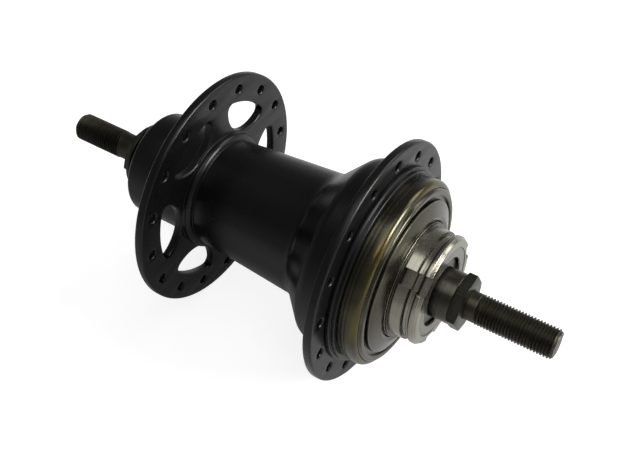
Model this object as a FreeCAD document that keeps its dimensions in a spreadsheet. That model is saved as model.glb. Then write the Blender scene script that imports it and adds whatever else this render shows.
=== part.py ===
import FreeCAD, Part
import Sketcher
import math
import os
from types import SimpleNamespace

# Coaster brake hub for a bicycle's rear wheel.
# The axle lies along Y with its middle at the origin, the drive side towards -Y and +Z up.
# A place is a distance in mm from the middle of the axle, positive towards the drive side.

DIMENSIONS = {
    # Axle, threaded 3/8 inch, with a plain band beside each nut
    "axle_radius": 4.75,
    "axle_half_length": 89.0,
    "axle_end_chamfer": 0.8,
    "axle_band_depth": 0.2,
    "left_band_length": 6.5,
    "right_band_length": 2.9,
    "thread_fit": 0.02,
    "nut_flats": 16.0,
    "nut_height": 3.3,
    "nut_chamfer": 0.5,
    # Hub shell, light alloy: barrel, bell, two flanges and the left boss
    "left_flange_face": 32.3,
    "right_flange_face": 31.2,
    "flange_thickness": 2.9,
    "flange_rim": 4.7,
    "flange_edge_chamfer": 0.35,
    "barrel_bore_radius": 16.9,
    "barrel_wall": 1.1,
    "barrel_rise": 2.7,
    "shoulder_height": 2.0,
    "shoulder_width": 2.4,
    "shoulder_round": 1.0,
    "bell_wall": 2.8,
    "bell_length": 8.3,
    "bell_slope_length": 9.5,
    "bell_round": 4.0,
    "bell_foot_round": 6.0,
    "bell_inner_slope_inset": 1.0,
    "collar_wall": 1.6,
    "collar_height": 2.7,
    "collar_step_height": 1.3,
    "collar_step": 0.7,
    "boss_wall": 2.5,
    "boss_round": 2.0,
    "boss_lip": 1.1,
    "boss_bore_step": 1.4,
    # Spoke holes and the six windows of the left flange
    "spoke_circle_offset": 4.5,
    "spoke_hole_radius": 1.45,
    "window_rim": 4.7,
    "window_foot": 0.4,
    "window_round": 11.3,
    "window_start_angle": 53.5,
    "window_corner": 2.0,
    # Brake liner pressed in the barrel, and the four shoes inside it
    "liner_wall": 1.5,
    "liner_inset": 4.9,
    "liner_right_inset": 2.5,
    "shoe_rest_gap": 0.35,
    "shoe_end_gap": 0.4,
    "shoe_right_inset": 7.0,
    "shoe_slot": 3.2,
    "shoe_lip_length": 6.0,
    "shoe_lip_overlap": 1.0,
    "shoe_hollow_gap": 1.4,
    "shoe_edge_round": 0.6,
    "shoe_groove_depth": 0.6,
    "shoe_groove_width": 1.4,
    # Tapers that spread the shoes
    "taper_wall": 2.25,
    "taper_slope": 0.314,
    "taper_length": 7.0,
    "taper_gap": 0.4,
    "key_width": 2.4,
    # Drive ring of hardened steel in the bell, and its dust cap
    "ring_bore_radius": 24.5,
    "ring_wall": 0.175,
    "ring_head_rise": 2.7,
    "ring_head_length": 6.2,
    "ring_seat_step": 0.1,
    "ring_seat_depth": 2.2,
    "ring_overhang": 1.0,
    "ring_face_chamfer": 1.2,
    "ring_track_step": 0.6,
    "ring_bead_offset": 2.4,
    "ring_bead_height": 0.25,
    "cap_seat_wall": 1.8,
    "cap_seat_depth": 1.9,
    "cap_bead_rise": 1.0,
    "cap_bead_width": 3.0,
    "cap_bead_slant": 0.5,
    "cap_groove_width": 0.7,
    "cap_floor_thickness": 0.6,
    "cap_rim_thickness": 0.96,
    "cap_thickness": 0.8,
    "cap_plate_step": 0.3,
    "cap_crown": 1.7,
    "cap_crown_width": 1.2,
    "cap_edge_fall": 0.2,
    "cap_bore_gap": 0.4,
    "cap_round": 0.3,
    # Driver: three notches and a snap ring groove for the sprocket, five ramps for the rollers
    "driver_bore_gap": 0.6,
    "sprocket_seat_radius": 17.5,
    "sprocket_seat_length": 3.9,
    "snap_groove_width": 2.2,
    "snap_groove_depth": 1.0,
    "driver_lip_width": 2.4,
    "lip_chamfer": 0.9,
    "driver_collar_rise": 1.2,
    "driver_collar_inset": 0.2,
    "driver_collar_slant": 0.4,
    "driver_collar_reach": 3.8,
    "driver_collar_round": 0.3,
    "driver_race_depth": 1.6,
    "notch_width": 5.2,
    "notch_depth": 2.2,
    "notch_angle": 130.5,
    "driver_lip_wall": 3.1,
    "driver_cap_step": 0.97,
    "driver_cap_inset": 0.1,
    "driver_cap_gap": 0.6,
    "driver_web_offset": 2.4,
    "driver_cam_gap": 3.9,
    "driver_nose_wall": 2.25,
    "driver_nose_length": 3.4,
    "ramp_roller_room": 0.3,
    # Rollers and their cage
    "roller_radius": 3.5,
    "roller_length": 10.4,
    "roller_run_gap": 0.06,
    "roller_end_gap": 0.15,
    "cage_gap": 0.35,
    "cage_disc_thickness": 2.6,
    "cage_disc_slant": 1.5,
    "cage_disc_slant_length": 1.2,
    "cage_ring_width": 1.2,
    "cage_end_gap": 0.2,
    "cage_finger_angle": 44.0,
    "cage_bore_fit": 0.08,
    # Brake cone that slides on the axle, with its drag spring
    "brake_cone_bore_fit": 0.1,
    "brake_cone_flange_rim": 0.8,
    "brake_cone_flange_length": 6.45,
    "brake_cone_flange_slant": 2.5,
    "brake_cone_foot_round": 1.0,
    "ratchet_height": 1.5,
    "ratchet_gap": 0.2,
    "ratchet_root": 0.3,
    "ratchet_tip": 0.6,
    "ratchet_bore_wall": 1.6,
    "ratchet_tooth_depth": 3.4,
    "ratchet_half_width": 2.9,
    "spring_offset": 1.6,
    "spring_groove_depth": 0.7,
    "spring_groove_width": 1.6,
    "spring_wire_radius": 0.55,
    "spring_seat_gap": 0.05,
    "spring_tail_gap": 0.1,
    "spring_tail_length": 6.0,
    # Right cone
    "cone_shoulder_drop": 0.4,
    "cone_shoulder_height": 0.9,
    "cone_shoulder_slant": 0.3,
    "cone_nose_length": 1.9,
    "cone_track_length": 1.2,
    "cone_neck_step": 2.6,
    "cone_neck_reach": 5.4,
    "cone_edge_round": 0.4,
    # Left end: anchor cone, bearing cup, dust cap, washer and locknut
    "anchor_collar_drop": 1.3,
    "anchor_collar_reach": 0.7,
    "anchor_track_length": 3.4,
    "anchor_neck_step": 1.07,
    "anchor_neck_slant": 1.0,
    "anchor_foot_slant": 1.5,
    "arm_seat_length": 3.5,
    "arm_seat_radius": 8.3,
    "arm_seat_flats": 13.0,
    "washer_thickness": 1.2,
    "washer_radius": 11.4,
    "left_cap_face": 0.9,
    "left_cap_skirt_length": 9.2,
    "left_cap_wall": 0.8,
    "left_cap_bore_gap": 0.3,
    "left_cap_round": 0.9,
    "cup_relief": 0.07,
    "cup_wall": 0.8,
    "cup_throat_step": 2.0,
    "cup_inner_length": 4.3,
    "cup_outer_length": 5.1,
    # Ball bearings: ball size, pitch circle and place of each row
    "race_gap": 0.05,
    "cage_pocket_gap": 0.12,
    "cage_rim_width": 0.8,
    "cage_half_width": 0.9,
    "left_ball_radius": 2.381,
    "left_pitch_radius": 11.7,
    "left_ball_offset": 15.2,
    "right_ball_radius": 3.175,
    "right_pitch_drop": 0.3,
    "right_ball_offset": 1.8,
    "driver_ball_radius": 2.381,
    "driver_ball_inset": 4.5,
    "driver_cage_gap": 0.3,
}

SPOKES_PER_FLANGE = 16
WINDOWS = 6
NOTCHES = 3
ROLLERS = 5
SHOES = 4
RATCHET_TEETH = 6
SHOE_GROOVES = 3
LEFT_BALLS = 11
RIGHT_BALLS = 15
DRIVER_BALLS = 10

# How far a cut reaches past what it cuts, and how near an edge has to be to count as found
CUT_ROOM = 1.0
FIND_TOLERANCE = 0.01

doc = FreeCAD.newDocument("coaster_brake_hub")
sheet = doc.addObject("Spreadsheet::Sheet", "sizes")


class Size:
    """A number with the formula that the document uses for it."""

    def __init__(self, number, formula):
        self.number = number
        self.formula = formula

    def join(self, other, sign, flip=False):
        other = as_size(other)
        left, right = (other, self) if flip else (self, other)
        numbers = {
            "+": left.number + right.number,
            "-": left.number - right.number,
            "*": left.number * right.number,
        }
        return Size(numbers[sign], f"({left.formula} {sign} {right.formula})")

    def __add__(self, other):
        return self.join(other, "+")

    def __radd__(self, other):
        return self.join(other, "+", flip=True)

    def __sub__(self, other):
        return self.join(other, "-")

    def __rsub__(self, other):
        return self.join(other, "-", flip=True)

    def __mul__(self, other):
        return self.join(other, "*")

    def __rmul__(self, other):
        return self.join(other, "*", flip=True)

    def __neg__(self):
        return Size(-self.number, f"(-{self.formula})")


def as_size(value):
    if isinstance(value, Size):
        return value
    return Size(float(value), f"{float(value):.6f}")


for row, (alias, number) in enumerate(DIMENSIONS.items(), start=1):
    sheet.set(f"A{row}", alias.replace("_", " "))
    sheet.set(f"B{row}", str(number))
    sheet.setAlias(f"B{row}", alias)
dim = SimpleNamespace(**{alias: Size(number, "sizes." + alias) for alias, number in DIMENSIONS.items()})
doc.recompute()


# Radii on the drive side: each wall stands on the one inside it, from the drive ring's bore outwards
dim.right_pitch_radius = dim.ring_bore_radius - dim.right_pitch_drop
dim.ball_bore_radius = dim.right_pitch_radius + dim.right_ball_radius + dim.race_gap
dim.ring_body_radius = dim.ball_bore_radius + dim.ring_wall
dim.ring_head_radius = dim.ring_body_radius + dim.ring_head_rise
dim.cap_seat_radius = dim.ring_head_radius - dim.cap_seat_wall
dim.bell_radius = dim.ring_body_radius + dim.bell_wall
dim.collar_radius = dim.bell_radius + dim.collar_wall
dim.spoke_circle_radius = dim.bell_radius + dim.spoke_circle_offset
dim.flange_radius = dim.spoke_circle_radius + dim.flange_rim
dim.inner_race_radius = dim.right_pitch_radius - dim.right_ball_radius - dim.race_gap
dim.driver_cam_radius = dim.ring_bore_radius - dim.driver_cam_gap

# Radii of the barrel and of the left flange's windows
dim.barrel_left_radius = dim.barrel_bore_radius + dim.barrel_wall
dim.barrel_right_radius = dim.barrel_left_radius + dim.barrel_rise
dim.shoulder_radius = dim.barrel_left_radius + dim.shoulder_height
dim.window_centre_radius = dim.shoulder_radius + dim.window_foot + dim.window_round
dim.window_outer_radius = dim.spoke_circle_radius - dim.window_rim
dim.liner_bore_radius = dim.barrel_bore_radius - dim.liner_wall

# Radii of the sprocket seat and of the driver's bearing inside it
dim.driver_collar_radius = dim.sprocket_seat_radius + dim.driver_collar_rise
dim.driver_cap_radius = dim.sprocket_seat_radius - dim.driver_lip_wall
dim.driver_cup_radius = dim.driver_cap_radius - dim.driver_cap_step
dim.driver_pitch_radius = dim.driver_cup_radius - dim.driver_ball_radius - dim.race_gap
dim.cone_shoulder_radius = dim.driver_pitch_radius - dim.cone_shoulder_drop
dim.cone_neck_radius = dim.cone_shoulder_radius - dim.cone_neck_step

# Radii round the axle
dim.thread_bore = dim.axle_radius + dim.thread_fit
dim.driver_bore_radius = dim.axle_radius + dim.driver_bore_gap
dim.driver_nose_radius = dim.driver_bore_radius + dim.driver_nose_wall
dim.ratchet_inner_radius = dim.driver_nose_radius + dim.ratchet_bore_wall
dim.taper_tip_radius = dim.axle_radius + dim.taper_wall
dim.taper_foot_radius = dim.taper_tip_radius + dim.taper_slope * dim.taper_length

# Radii of the left bearing and of the boss round it
dim.left_nose_radius = dim.left_pitch_radius - dim.left_ball_radius - dim.race_gap
dim.cup_bore_radius = dim.left_pitch_radius + dim.left_ball_radius + dim.race_gap + dim.cup_relief
dim.cup_radius = dim.cup_bore_radius + dim.cup_wall
dim.boss_radius = dim.cup_radius + dim.boss_wall
dim.anchor_collar_radius = dim.left_pitch_radius - dim.anchor_collar_drop

# Places on the drive side, from the right flange outwards
dim.right_inner_face = dim.right_flange_face - dim.flange_thickness
dim.collar_face = dim.right_flange_face + dim.collar_height
dim.right_ball_place = dim.collar_face + dim.right_ball_offset
dim.ring_face = dim.collar_face + dim.ring_head_length
dim.cap_bead_face = dim.ring_face + dim.cap_bead_rise
dim.driver_collar_place = dim.ring_face - dim.driver_collar_inset
dim.sprocket_seat_left = dim.ring_face + dim.driver_collar_reach
dim.snap_groove_left = dim.sprocket_seat_left + dim.sprocket_seat_length
dim.snap_groove_right = dim.snap_groove_left + dim.snap_groove_width
dim.driver_face = dim.snap_groove_right + dim.driver_lip_width
dim.driver_ball_place = dim.driver_face - dim.driver_ball_inset
dim.right_nut_place = dim.driver_face + dim.cone_neck_reach
dim.right_nut_face = dim.right_nut_place + dim.nut_height

# Places in the bell and the barrel, from the right ball row inwards
dim.roller_cage_end = dim.right_ball_place - dim.right_ball_radius - dim.cage_end_gap
dim.roller_right = dim.roller_cage_end - dim.cage_ring_width - dim.roller_end_gap
dim.roller_left = dim.roller_right - dim.roller_length
dim.ramp_left = dim.roller_left - dim.roller_end_gap
dim.ring_left = dim.ramp_left - dim.ring_overhang
dim.bell_place = dim.right_inner_face - dim.bell_length
dim.barrel_right_place = dim.bell_place - dim.bell_slope_length
dim.liner_right = dim.barrel_right_place - dim.liner_right_inset
dim.shoe_right = dim.liner_right - dim.shoe_right_inset

# Distances of the left side's places from the middle, from the left flange outwards
dim.liner_left = dim.left_flange_face - dim.liner_inset
dim.shoe_left = dim.liner_left - dim.shoe_end_gap
dim.left_ball_distance = dim.left_flange_face + dim.left_ball_offset
dim.cup_right = dim.left_ball_distance - dim.cup_inner_length
dim.cup_left = dim.left_ball_distance + dim.cup_outer_length
dim.boss_end = dim.cup_left + dim.boss_lip
dim.left_cap_left = dim.boss_end + dim.left_cap_face
dim.left_cap_skirt = dim.boss_end - dim.left_cap_skirt_length
dim.anchor_collar_end = dim.left_cap_left + dim.anchor_collar_reach
dim.arm_seat_end = dim.anchor_collar_end + dim.arm_seat_length
dim.washer_left = dim.arm_seat_end + dim.washer_thickness
dim.left_nut_face = dim.washer_left + dim.nut_height


def bind(thing, path, size):
    """Ties one property of an object to its formula."""
    thing.setExpression(path, as_size(size).formula)


def new_body(name):
    body = doc.addObject("PartDesign::Body", name + "_body")
    body.Label = name
    return body


def new_sketch(body, name, role, place=0):
    """A sketch on one of the body's own planes, moved along the plane's normal."""
    sketch = body.newObject("Sketcher::SketchObject", name)
    origin_plane = [feature for feature in body.Origin.OriginFeatures if feature.Role == role][0]
    sketch.AttachmentSupport = [(origin_plane, "")]
    sketch.MapMode = "FlatFace"
    bind(sketch, "AttachmentOffset.Base.z", place)
    return sketch


def fix_point(sketch, geometry, end, across, up):
    """Holds a point of a sketch at two formulas from the sketch's origin."""
    for kind, size in (("DistanceX", as_size(across)), ("DistanceY", as_size(up))):
        index = sketch.addConstraint(Sketcher.Constraint(kind, -1, 1, geometry, end, size.number))
        bind(sketch, f"Constraints[{index}]", size)


def corner_cut(before, corner, after, radius):
    """Where a round of this radius leaves both sides of a corner, and its centre."""
    to_before = (before - corner).normalize()
    to_after = (after - corner).normalize()
    half_angle = to_before.getAngle(to_after) / 2
    reach = radius / math.tan(half_angle)
    middle = (to_before + to_after).normalize()
    centre = corner + middle * (radius / math.sin(half_angle))
    return corner + to_before * reach, corner + to_after * reach, centre


def draw_outline(sketch, points):
    """Draws a closed outline; a point is (across, up) or (across, up, round)."""
    count = len(points)
    sizes = [(as_size(point[0]), as_size(point[1])) for point in points]
    rounds = [as_size(point[2]) if len(point) > 2 else None for point in points]
    spots = [FreeCAD.Vector(across.number, up.number, 0) for across, up in sizes]
    leave = list(spots)
    arrive = list(spots)
    arcs = {}
    for number, radius in enumerate(rounds):
        if radius is None:
            continue
        before = spots[number - 1]
        after = spots[(number + 1) % count]
        arrive[number], leave[number], centre = corner_cut(before, spots[number], after, radius.number)
        start = arrive[number] - centre
        finish = leave[number] - centre
        turns_left = start.cross(finish).z > 0
        first, last = (start, finish) if turns_left else (finish, start)
        first_angle = math.atan2(first.y, first.x)
        last_angle = math.atan2(last.y, last.x)
        circle = Part.Circle(centre, FreeCAD.Vector(0, 0, 1), radius.number)
        arcs[number] = (Part.ArcOfCircle(circle, first_angle, last_angle), turns_left)
    lines = []
    for number in range(count):
        following = (number + 1) % count
        lines.append(sketch.addGeometry(Part.LineSegment(leave[number], arrive[following]), False))
    for number in range(count):
        line_in = lines[number - 1]
        line_out = lines[number]
        if number not in arcs:
            sketch.addConstraint(Sketcher.Constraint("Coincident", line_in, 2, line_out, 1))
            fix_point(sketch, line_out, 1, *sizes[number])
            continue
        shape, turns_left = arcs[number]
        arc = sketch.addGeometry(shape, False)
        start_end, finish_end = (1, 2) if turns_left else (2, 1)
        corner = sketch.addGeometry(Part.Point(spots[number]), True)
        fix_point(sketch, corner, 1, *sizes[number])
        sketch.addConstraint(Sketcher.Constraint("PointOnObject", corner, 1, line_in))
        sketch.addConstraint(Sketcher.Constraint("PointOnObject", corner, 1, line_out))
        sketch.addConstraint(Sketcher.Constraint("Tangent", line_in, 2, arc, start_end))
        sketch.addConstraint(Sketcher.Constraint("Tangent", arc, finish_end, line_out, 1))
        index = sketch.addConstraint(Sketcher.Constraint("Radius", arc, rounds[number].number))
        bind(sketch, f"Constraints[{index}]", rounds[number])


def draw_circle(sketch, across, up, radius):
    across, up, radius = as_size(across), as_size(up), as_size(radius)
    centre = FreeCAD.Vector(across.number, up.number, 0)
    circle = sketch.addGeometry(Part.Circle(centre, FreeCAD.Vector(0, 0, 1), radius.number), False)
    if across.number == 0 and up.number == 0:
        sketch.addConstraint(Sketcher.Constraint("Coincident", circle, 3, -1, 1))
    else:
        fix_point(sketch, circle, 3, across, up)
    index = sketch.addConstraint(Sketcher.Constraint("Radius", circle, radius.number))
    bind(sketch, f"Constraints[{index}]", radius)


def turn(body, name, profile):
    """Turns a profile of (place, radius) or (place, radius, round) points about the axle line."""
    sketch = new_sketch(body, name + "_profile", "XY_Plane")
    draw_outline(sketch, [(radius, -as_size(place), *rest) for place, radius, *rest in profile])
    feature = body.newObject("PartDesign::Revolution", name + "_turned")
    feature.Profile = sketch
    feature.ReferenceAxis = (sketch, ["V_Axis"])
    feature.Angle = 360
    doc.recompute()
    return feature


def turned_body(name, profile):
    body = new_body(name)
    turn(body, name, profile)
    return body


def checked_cut(body, feature, before):
    """Every cut has to take something away."""
    doc.recompute()
    if not body.Shape.isValid() or body.Shape.Volume >= before - 1e-6:
        raise RuntimeError(feature.Name + " cuts nothing")


def groove_round(body, name, draw):
    """Cuts a groove about the axle line; the sketch holds the groove's cross section."""
    before = body.Shape.Volume
    sketch = new_sketch(body, name + "_sketch", "XY_Plane")
    draw(sketch)
    groove = body.newObject("PartDesign::Groove", name)
    groove.Profile = sketch
    groove.ReferenceAxis = (sketch, ["V_Axis"])
    groove.Angle = 360
    checked_cut(body, groove, before)


def cut_race(body, name, place, pitch, ball_radius):
    """Cuts a ball track that leaves the race gap round each ball."""
    groove_round(body, name, lambda sketch: draw_circle(sketch, pitch, -as_size(place), ball_radius + dim.race_gap))


def pocket(body, name, place, length, draw, role="XZ_Plane"):
    """Cuts from a place on the plane's normal back against that normal."""
    before = body.Shape.Volume
    sketch = new_sketch(body, name + "_sketch", role, place)
    draw(sketch)
    cut = body.newObject("PartDesign::Pocket", name)
    cut.Profile = sketch
    bind(cut, "Length", length)
    checked_cut(body, cut, before)
    return cut


def pad(body, name, role, place, length, draw):
    sketch = new_sketch(body, name + "_sketch", role, place)
    draw(sketch)
    feature = body.newObject("PartDesign::Pad", name)
    feature.Profile = sketch
    bind(feature, "Length", length)
    doc.recompute()
    return feature


def repeat_round(body, feature, name, count):
    """Repeats a feature round the axle line."""
    origin_axis = [item for item in body.Origin.OriginFeatures if item.Role == "Y_Axis"][0]
    pattern = body.newObject("PartDesign::PolarPattern", name)
    pattern.Originals = [feature]
    pattern.Axis = (origin_axis, [""])
    pattern.Angle = 360
    pattern.Occurrences = count
    body.Tip = pattern
    doc.recompute()
    return pattern


def across_at(radius, angle):
    """Sketch point at a radius and an angle in degrees; the sketch's up is +Z."""
    turn_text = as_size(angle)
    radius = as_size(radius)
    number = math.radians(turn_text.number)
    across = Size(radius.number * math.cos(number), f"({radius.formula} * cos({turn_text.formula} * 1deg))")
    up = Size(radius.number * math.sin(number), f"({radius.formula} * sin({turn_text.formula} * 1deg))")
    return across, up


def draw_sector(sketch, inner, outer, middle_angle, width_angle):
    """Draws a piece of a ring: two arcs about the axle line and two straight ends."""
    inner, outer = as_size(inner), as_size(outer)
    middle_angle, width_angle = as_size(middle_angle), as_size(width_angle)
    start = middle_angle - width_angle * 0.5
    finish = middle_angle + width_angle * 0.5
    angles = [math.radians(start.number), math.radians(finish.number)]
    origin = FreeCAD.Vector(0, 0, 0)
    normal = FreeCAD.Vector(0, 0, 1)
    arcs = []
    for radius in (inner, outer):
        arc = Part.ArcOfCircle(Part.Circle(origin, normal, radius.number), *angles)
        arcs.append(sketch.addGeometry(arc, False))
    ends = []
    for angle in (start, finish):
        points = [FreeCAD.Vector(*(size.number for size in across_at(r, angle)), 0) for r in (inner, outer)]
        ends.append(sketch.addGeometry(Part.LineSegment(*points), False))
    for arc, radius in zip(arcs, (inner, outer)):
        sketch.addConstraint(Sketcher.Constraint("Coincident", arc, 3, -1, 1))
        index = sketch.addConstraint(Sketcher.Constraint("Radius", arc, radius.number))
        bind(sketch, f"Constraints[{index}]", radius)
    for number, (line, angle) in enumerate(zip(ends, (start, finish)), start=1):
        sketch.addConstraint(Sketcher.Constraint("Coincident", line, 1, arcs[0], number))
        sketch.addConstraint(Sketcher.Constraint("Coincident", line, 2, arcs[1], number))
        across = across_at(inner, angle)[0]
        index = sketch.addConstraint(Sketcher.Constraint("DistanceX", -1, 1, line, 1, across.number))
        bind(sketch, f"Constraints[{index}]", across)
        across = across_at(outer, angle)[0]
        index = sketch.addConstraint(Sketcher.Constraint("DistanceX", -1, 1, line, 2, across.number))
        bind(sketch, f"Constraints[{index}]", across)


def draw_half_moon(sketch, outer, centre, round_radius, middle_angle):
    """Draws an arc about the axle line, closed on its inner side by a rounder arc about its own centre."""
    outer, centre, round_radius = as_size(outer), as_size(centre), as_size(round_radius)
    outer_square = outer.number ** 2
    round_square = round_radius.number ** 2
    centre_square = centre.number ** 2
    middle = math.radians(as_size(middle_angle).number)
    half = math.acos((outer_square + centre_square - round_square) / (2 * outer.number * centre.number))
    sweep = math.acos((centre_square + round_square - outer_square) / (2 * centre.number * round_radius.number))
    normal = FreeCAD.Vector(0, 0, 1)
    rim_circle = Part.Circle(FreeCAD.Vector(0, 0, 0), normal, outer.number)
    rim = sketch.addGeometry(Part.ArcOfCircle(rim_circle, middle - half, middle + half), False)
    across, up = across_at(centre, middle_angle)
    bottom_circle = Part.Circle(FreeCAD.Vector(across.number, up.number, 0), normal, round_radius.number)
    inwards = middle + math.pi
    bottom = sketch.addGeometry(Part.ArcOfCircle(bottom_circle, inwards - sweep, inwards + sweep), False)
    sketch.addConstraint(Sketcher.Constraint("Coincident", rim, 3, -1, 1))
    fix_point(sketch, bottom, 3, across, up)
    for arc, radius in ((rim, outer), (bottom, round_radius)):
        index = sketch.addConstraint(Sketcher.Constraint("Radius", arc, radius.number))
        bind(sketch, f"Constraints[{index}]", radius)
    sketch.addConstraint(Sketcher.Constraint("Coincident", rim, 2, bottom, 1))
    sketch.addConstraint(Sketcher.Constraint("Coincident", bottom, 2, rim, 1))


def draw_rectangle(sketch, left, right, low, high):
    draw_outline(sketch, [(left, low), (right, low), (right, high), (left, high)])


def draw_hexagon(sketch, flats):
    corner_radius = as_size(flats) * (1 / math.sqrt(3))
    draw_outline(sketch, [across_at(corner_radius, 60 * side) for side in range(6)])


def ring_of(name, count, pitch, place, make_one, start_angle=0.0):
    """A group of like pieces spaced evenly round the axle line."""
    members = []
    for number in range(count):
        piece = make_one(f"{name}_{number + 1}")
        angle = start_angle + 360.0 * number / count
        across, up = across_at(pitch, angle)
        bind(piece, "Placement.Base.x", across)
        bind(piece, "Placement.Base.z", up)
        bind(piece, "Placement.Base.y", -as_size(place))
        members.append(piece)
    group = doc.addObject("Part::Compound", name + "_group")
    group.Links = members
    group.Label = name
    doc.recompute()
    return group


def ball_maker(radius):
    def make_one(name):
        ball = doc.addObject("Part::Sphere", name)
        bind(ball, "Radius", radius)
        return ball
    return make_one


def ball_cage(name, count, place, direction, ball_radius, inner, outer):
    """A crown-shaped cage: a rim beside the row, and a finger between each two balls."""
    place = as_size(place)
    pocket_radius = ball_radius + dim.cage_pocket_gap
    rim = place + direction * (pocket_radius + dim.cage_rim_width)
    cage = turned_body(name, [(place, inner), (place, outer), (rim, outer), (rim, inner)])
    opening = pocket(cage, name + "_pocket", outer + CUT_ROOM, outer + CUT_ROOM - inner * 0.8,
                     lambda sketch: draw_circle(sketch, -place, 0, pocket_radius), "YZ_Plane")
    repeat_round(cage, opening, name + "_pockets", count)
    return cage


nodes = []

# Axle: a plain rod here, with chamfered ends and the thread's plain band beside each nut
axle = new_body("axle")
rod = pad(axle, "axle_rod", "XZ_Plane", -dim.axle_half_length, 2 * dim.axle_half_length,
          lambda sketch: draw_circle(sketch, 0, 0, dim.axle_radius))
end_edges = [f"Edge{number}" for number, edge in enumerate(rod.Shape.Edges, start=1)
             if isinstance(edge.Curve, Part.Circle)]
axle_chamfer = axle.newObject("PartDesign::Chamfer", "axle_chamfer")
axle_chamfer.Base = (rod, end_edges)
bind(axle_chamfer, "Size", dim.axle_end_chamfer)
doc.recompute()


def cut_axle_band(name, left, right):
    band_radius = dim.axle_radius - dim.axle_band_depth
    groove_round(axle, name, lambda sketch: draw_rectangle(sketch, band_radius, dim.axle_radius + CUT_ROOM,
                                                           -as_size(right), -as_size(left)))


cut_axle_band("left_axle_band", -dim.left_nut_face - dim.left_band_length, -dim.left_nut_face)
cut_axle_band("right_axle_band", dim.right_nut_face, dim.right_nut_face + dim.right_band_length)
nodes.append(axle)

# Hub shell: one turned and drilled light alloy piece
left_inner_face = -dim.left_flange_face + dim.flange_thickness
shoulder_right = left_inner_face + dim.shoulder_width
collar_step_place = dim.right_flange_face + dim.collar_step_height
ring_seat_radius = dim.ring_bore_radius + dim.ring_seat_step
skirt_seat_radius = dim.boss_radius - dim.left_cap_wall
boss_bore_radius = dim.cup_radius - dim.boss_bore_step
shell_profile = [
    (-dim.boss_end, dim.cup_radius),
    (-dim.boss_end, skirt_seat_radius),
    (-dim.left_cap_skirt, skirt_seat_radius),
    (-dim.left_cap_skirt, dim.boss_radius),
    (-dim.left_flange_face, dim.boss_radius, dim.boss_round),
    (-dim.left_flange_face, dim.flange_radius, dim.flange_edge_chamfer),
    (left_inner_face, dim.flange_radius, dim.flange_edge_chamfer),
    (left_inner_face, dim.shoulder_radius),
    (shoulder_right, dim.shoulder_radius, dim.shoulder_round),
    (shoulder_right, dim.barrel_left_radius, dim.shoulder_round * 0.6),
    (dim.barrel_right_place, dim.barrel_right_radius, dim.bell_foot_round),
    (dim.bell_place, dim.bell_radius, dim.bell_round),
    (dim.right_inner_face, dim.bell_radius),
    (dim.right_inner_face, dim.flange_radius, dim.flange_edge_chamfer),
    (dim.right_flange_face, dim.flange_radius, dim.flange_edge_chamfer),
    (dim.right_flange_face, dim.collar_radius),
    (collar_step_place, dim.collar_radius),
    (collar_step_place, dim.collar_radius - dim.collar_step),
    (dim.collar_face, dim.collar_radius - dim.collar_step),
    (dim.collar_face, dim.ring_body_radius),
    (dim.ring_left, dim.ring_body_radius),
    (dim.ring_left, ring_seat_radius),
    (dim.ring_left - dim.ring_seat_depth, ring_seat_radius),
    (dim.barrel_right_place - dim.bell_inner_slope_inset, dim.barrel_bore_radius),
    (-dim.liner_left, dim.barrel_bore_radius),
    (-dim.liner_left, boss_bore_radius),
    (-dim.cup_right, boss_bore_radius),
    (-dim.cup_right, dim.cup_radius),
]
hub_shell = turned_body("hub_shell", shell_profile)


def drill_spoke_holes(name, face, angle):
    hole = pocket(hub_shell, name + "_hole", face, dim.flange_thickness,
                  lambda sketch: draw_circle(sketch, *across_at(dim.spoke_circle_radius, angle),
                                             dim.spoke_hole_radius))
    repeat_round(hub_shell, hole, name + "_holes", SPOKES_PER_FLANGE)


drill_spoke_holes("left_spoke", left_inner_face, 0.0)
drill_spoke_holes("right_spoke", dim.right_flange_face, 180.0 / SPOKES_PER_FLANGE)
window = pocket(hub_shell, "window", left_inner_face, dim.flange_thickness,
                lambda sketch: draw_half_moon(sketch, dim.window_outer_radius, dim.window_centre_radius,
                                              dim.window_round, dim.window_start_angle))
windows = repeat_round(hub_shell, window, "windows", WINDOWS)


def is_window_corner(edge):
    """A short straight edge along the axle, at the radius of the windows' outer arc."""
    if len(edge.Vertexes) != 2 or not isinstance(edge.Curve, Part.Line):
        return False
    first, second = (vertex.Point for vertex in edge.Vertexes)
    along = abs(first.y - second.y)
    radius = math.hypot(first.x, first.z)
    at_window = abs(radius - dim.window_outer_radius.number) < FIND_TOLERANCE
    return at_window and abs(along - dim.flange_thickness.number) < FIND_TOLERANCE


corner_edges = [f"Edge{number}" for number, edge in enumerate(windows.Shape.Edges, start=1)
                if is_window_corner(edge)]
window_rounds = hub_shell.newObject("PartDesign::Fillet", "window_rounds")
window_rounds.Base = (windows, corner_edges)
bind(window_rounds, "Radius", dim.window_corner)
doc.recompute()
nodes.append(hub_shell)

# Brake liner: a steel sleeve pressed in the barrel
brake_liner = turned_body("brake_liner", [
    (-dim.liner_left, dim.liner_bore_radius),
    (-dim.liner_left, dim.barrel_bore_radius),
    (dim.liner_right, dim.barrel_bore_radius),
    (dim.liner_right, dim.liner_bore_radius),
])
nodes.append(brake_liner)

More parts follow.
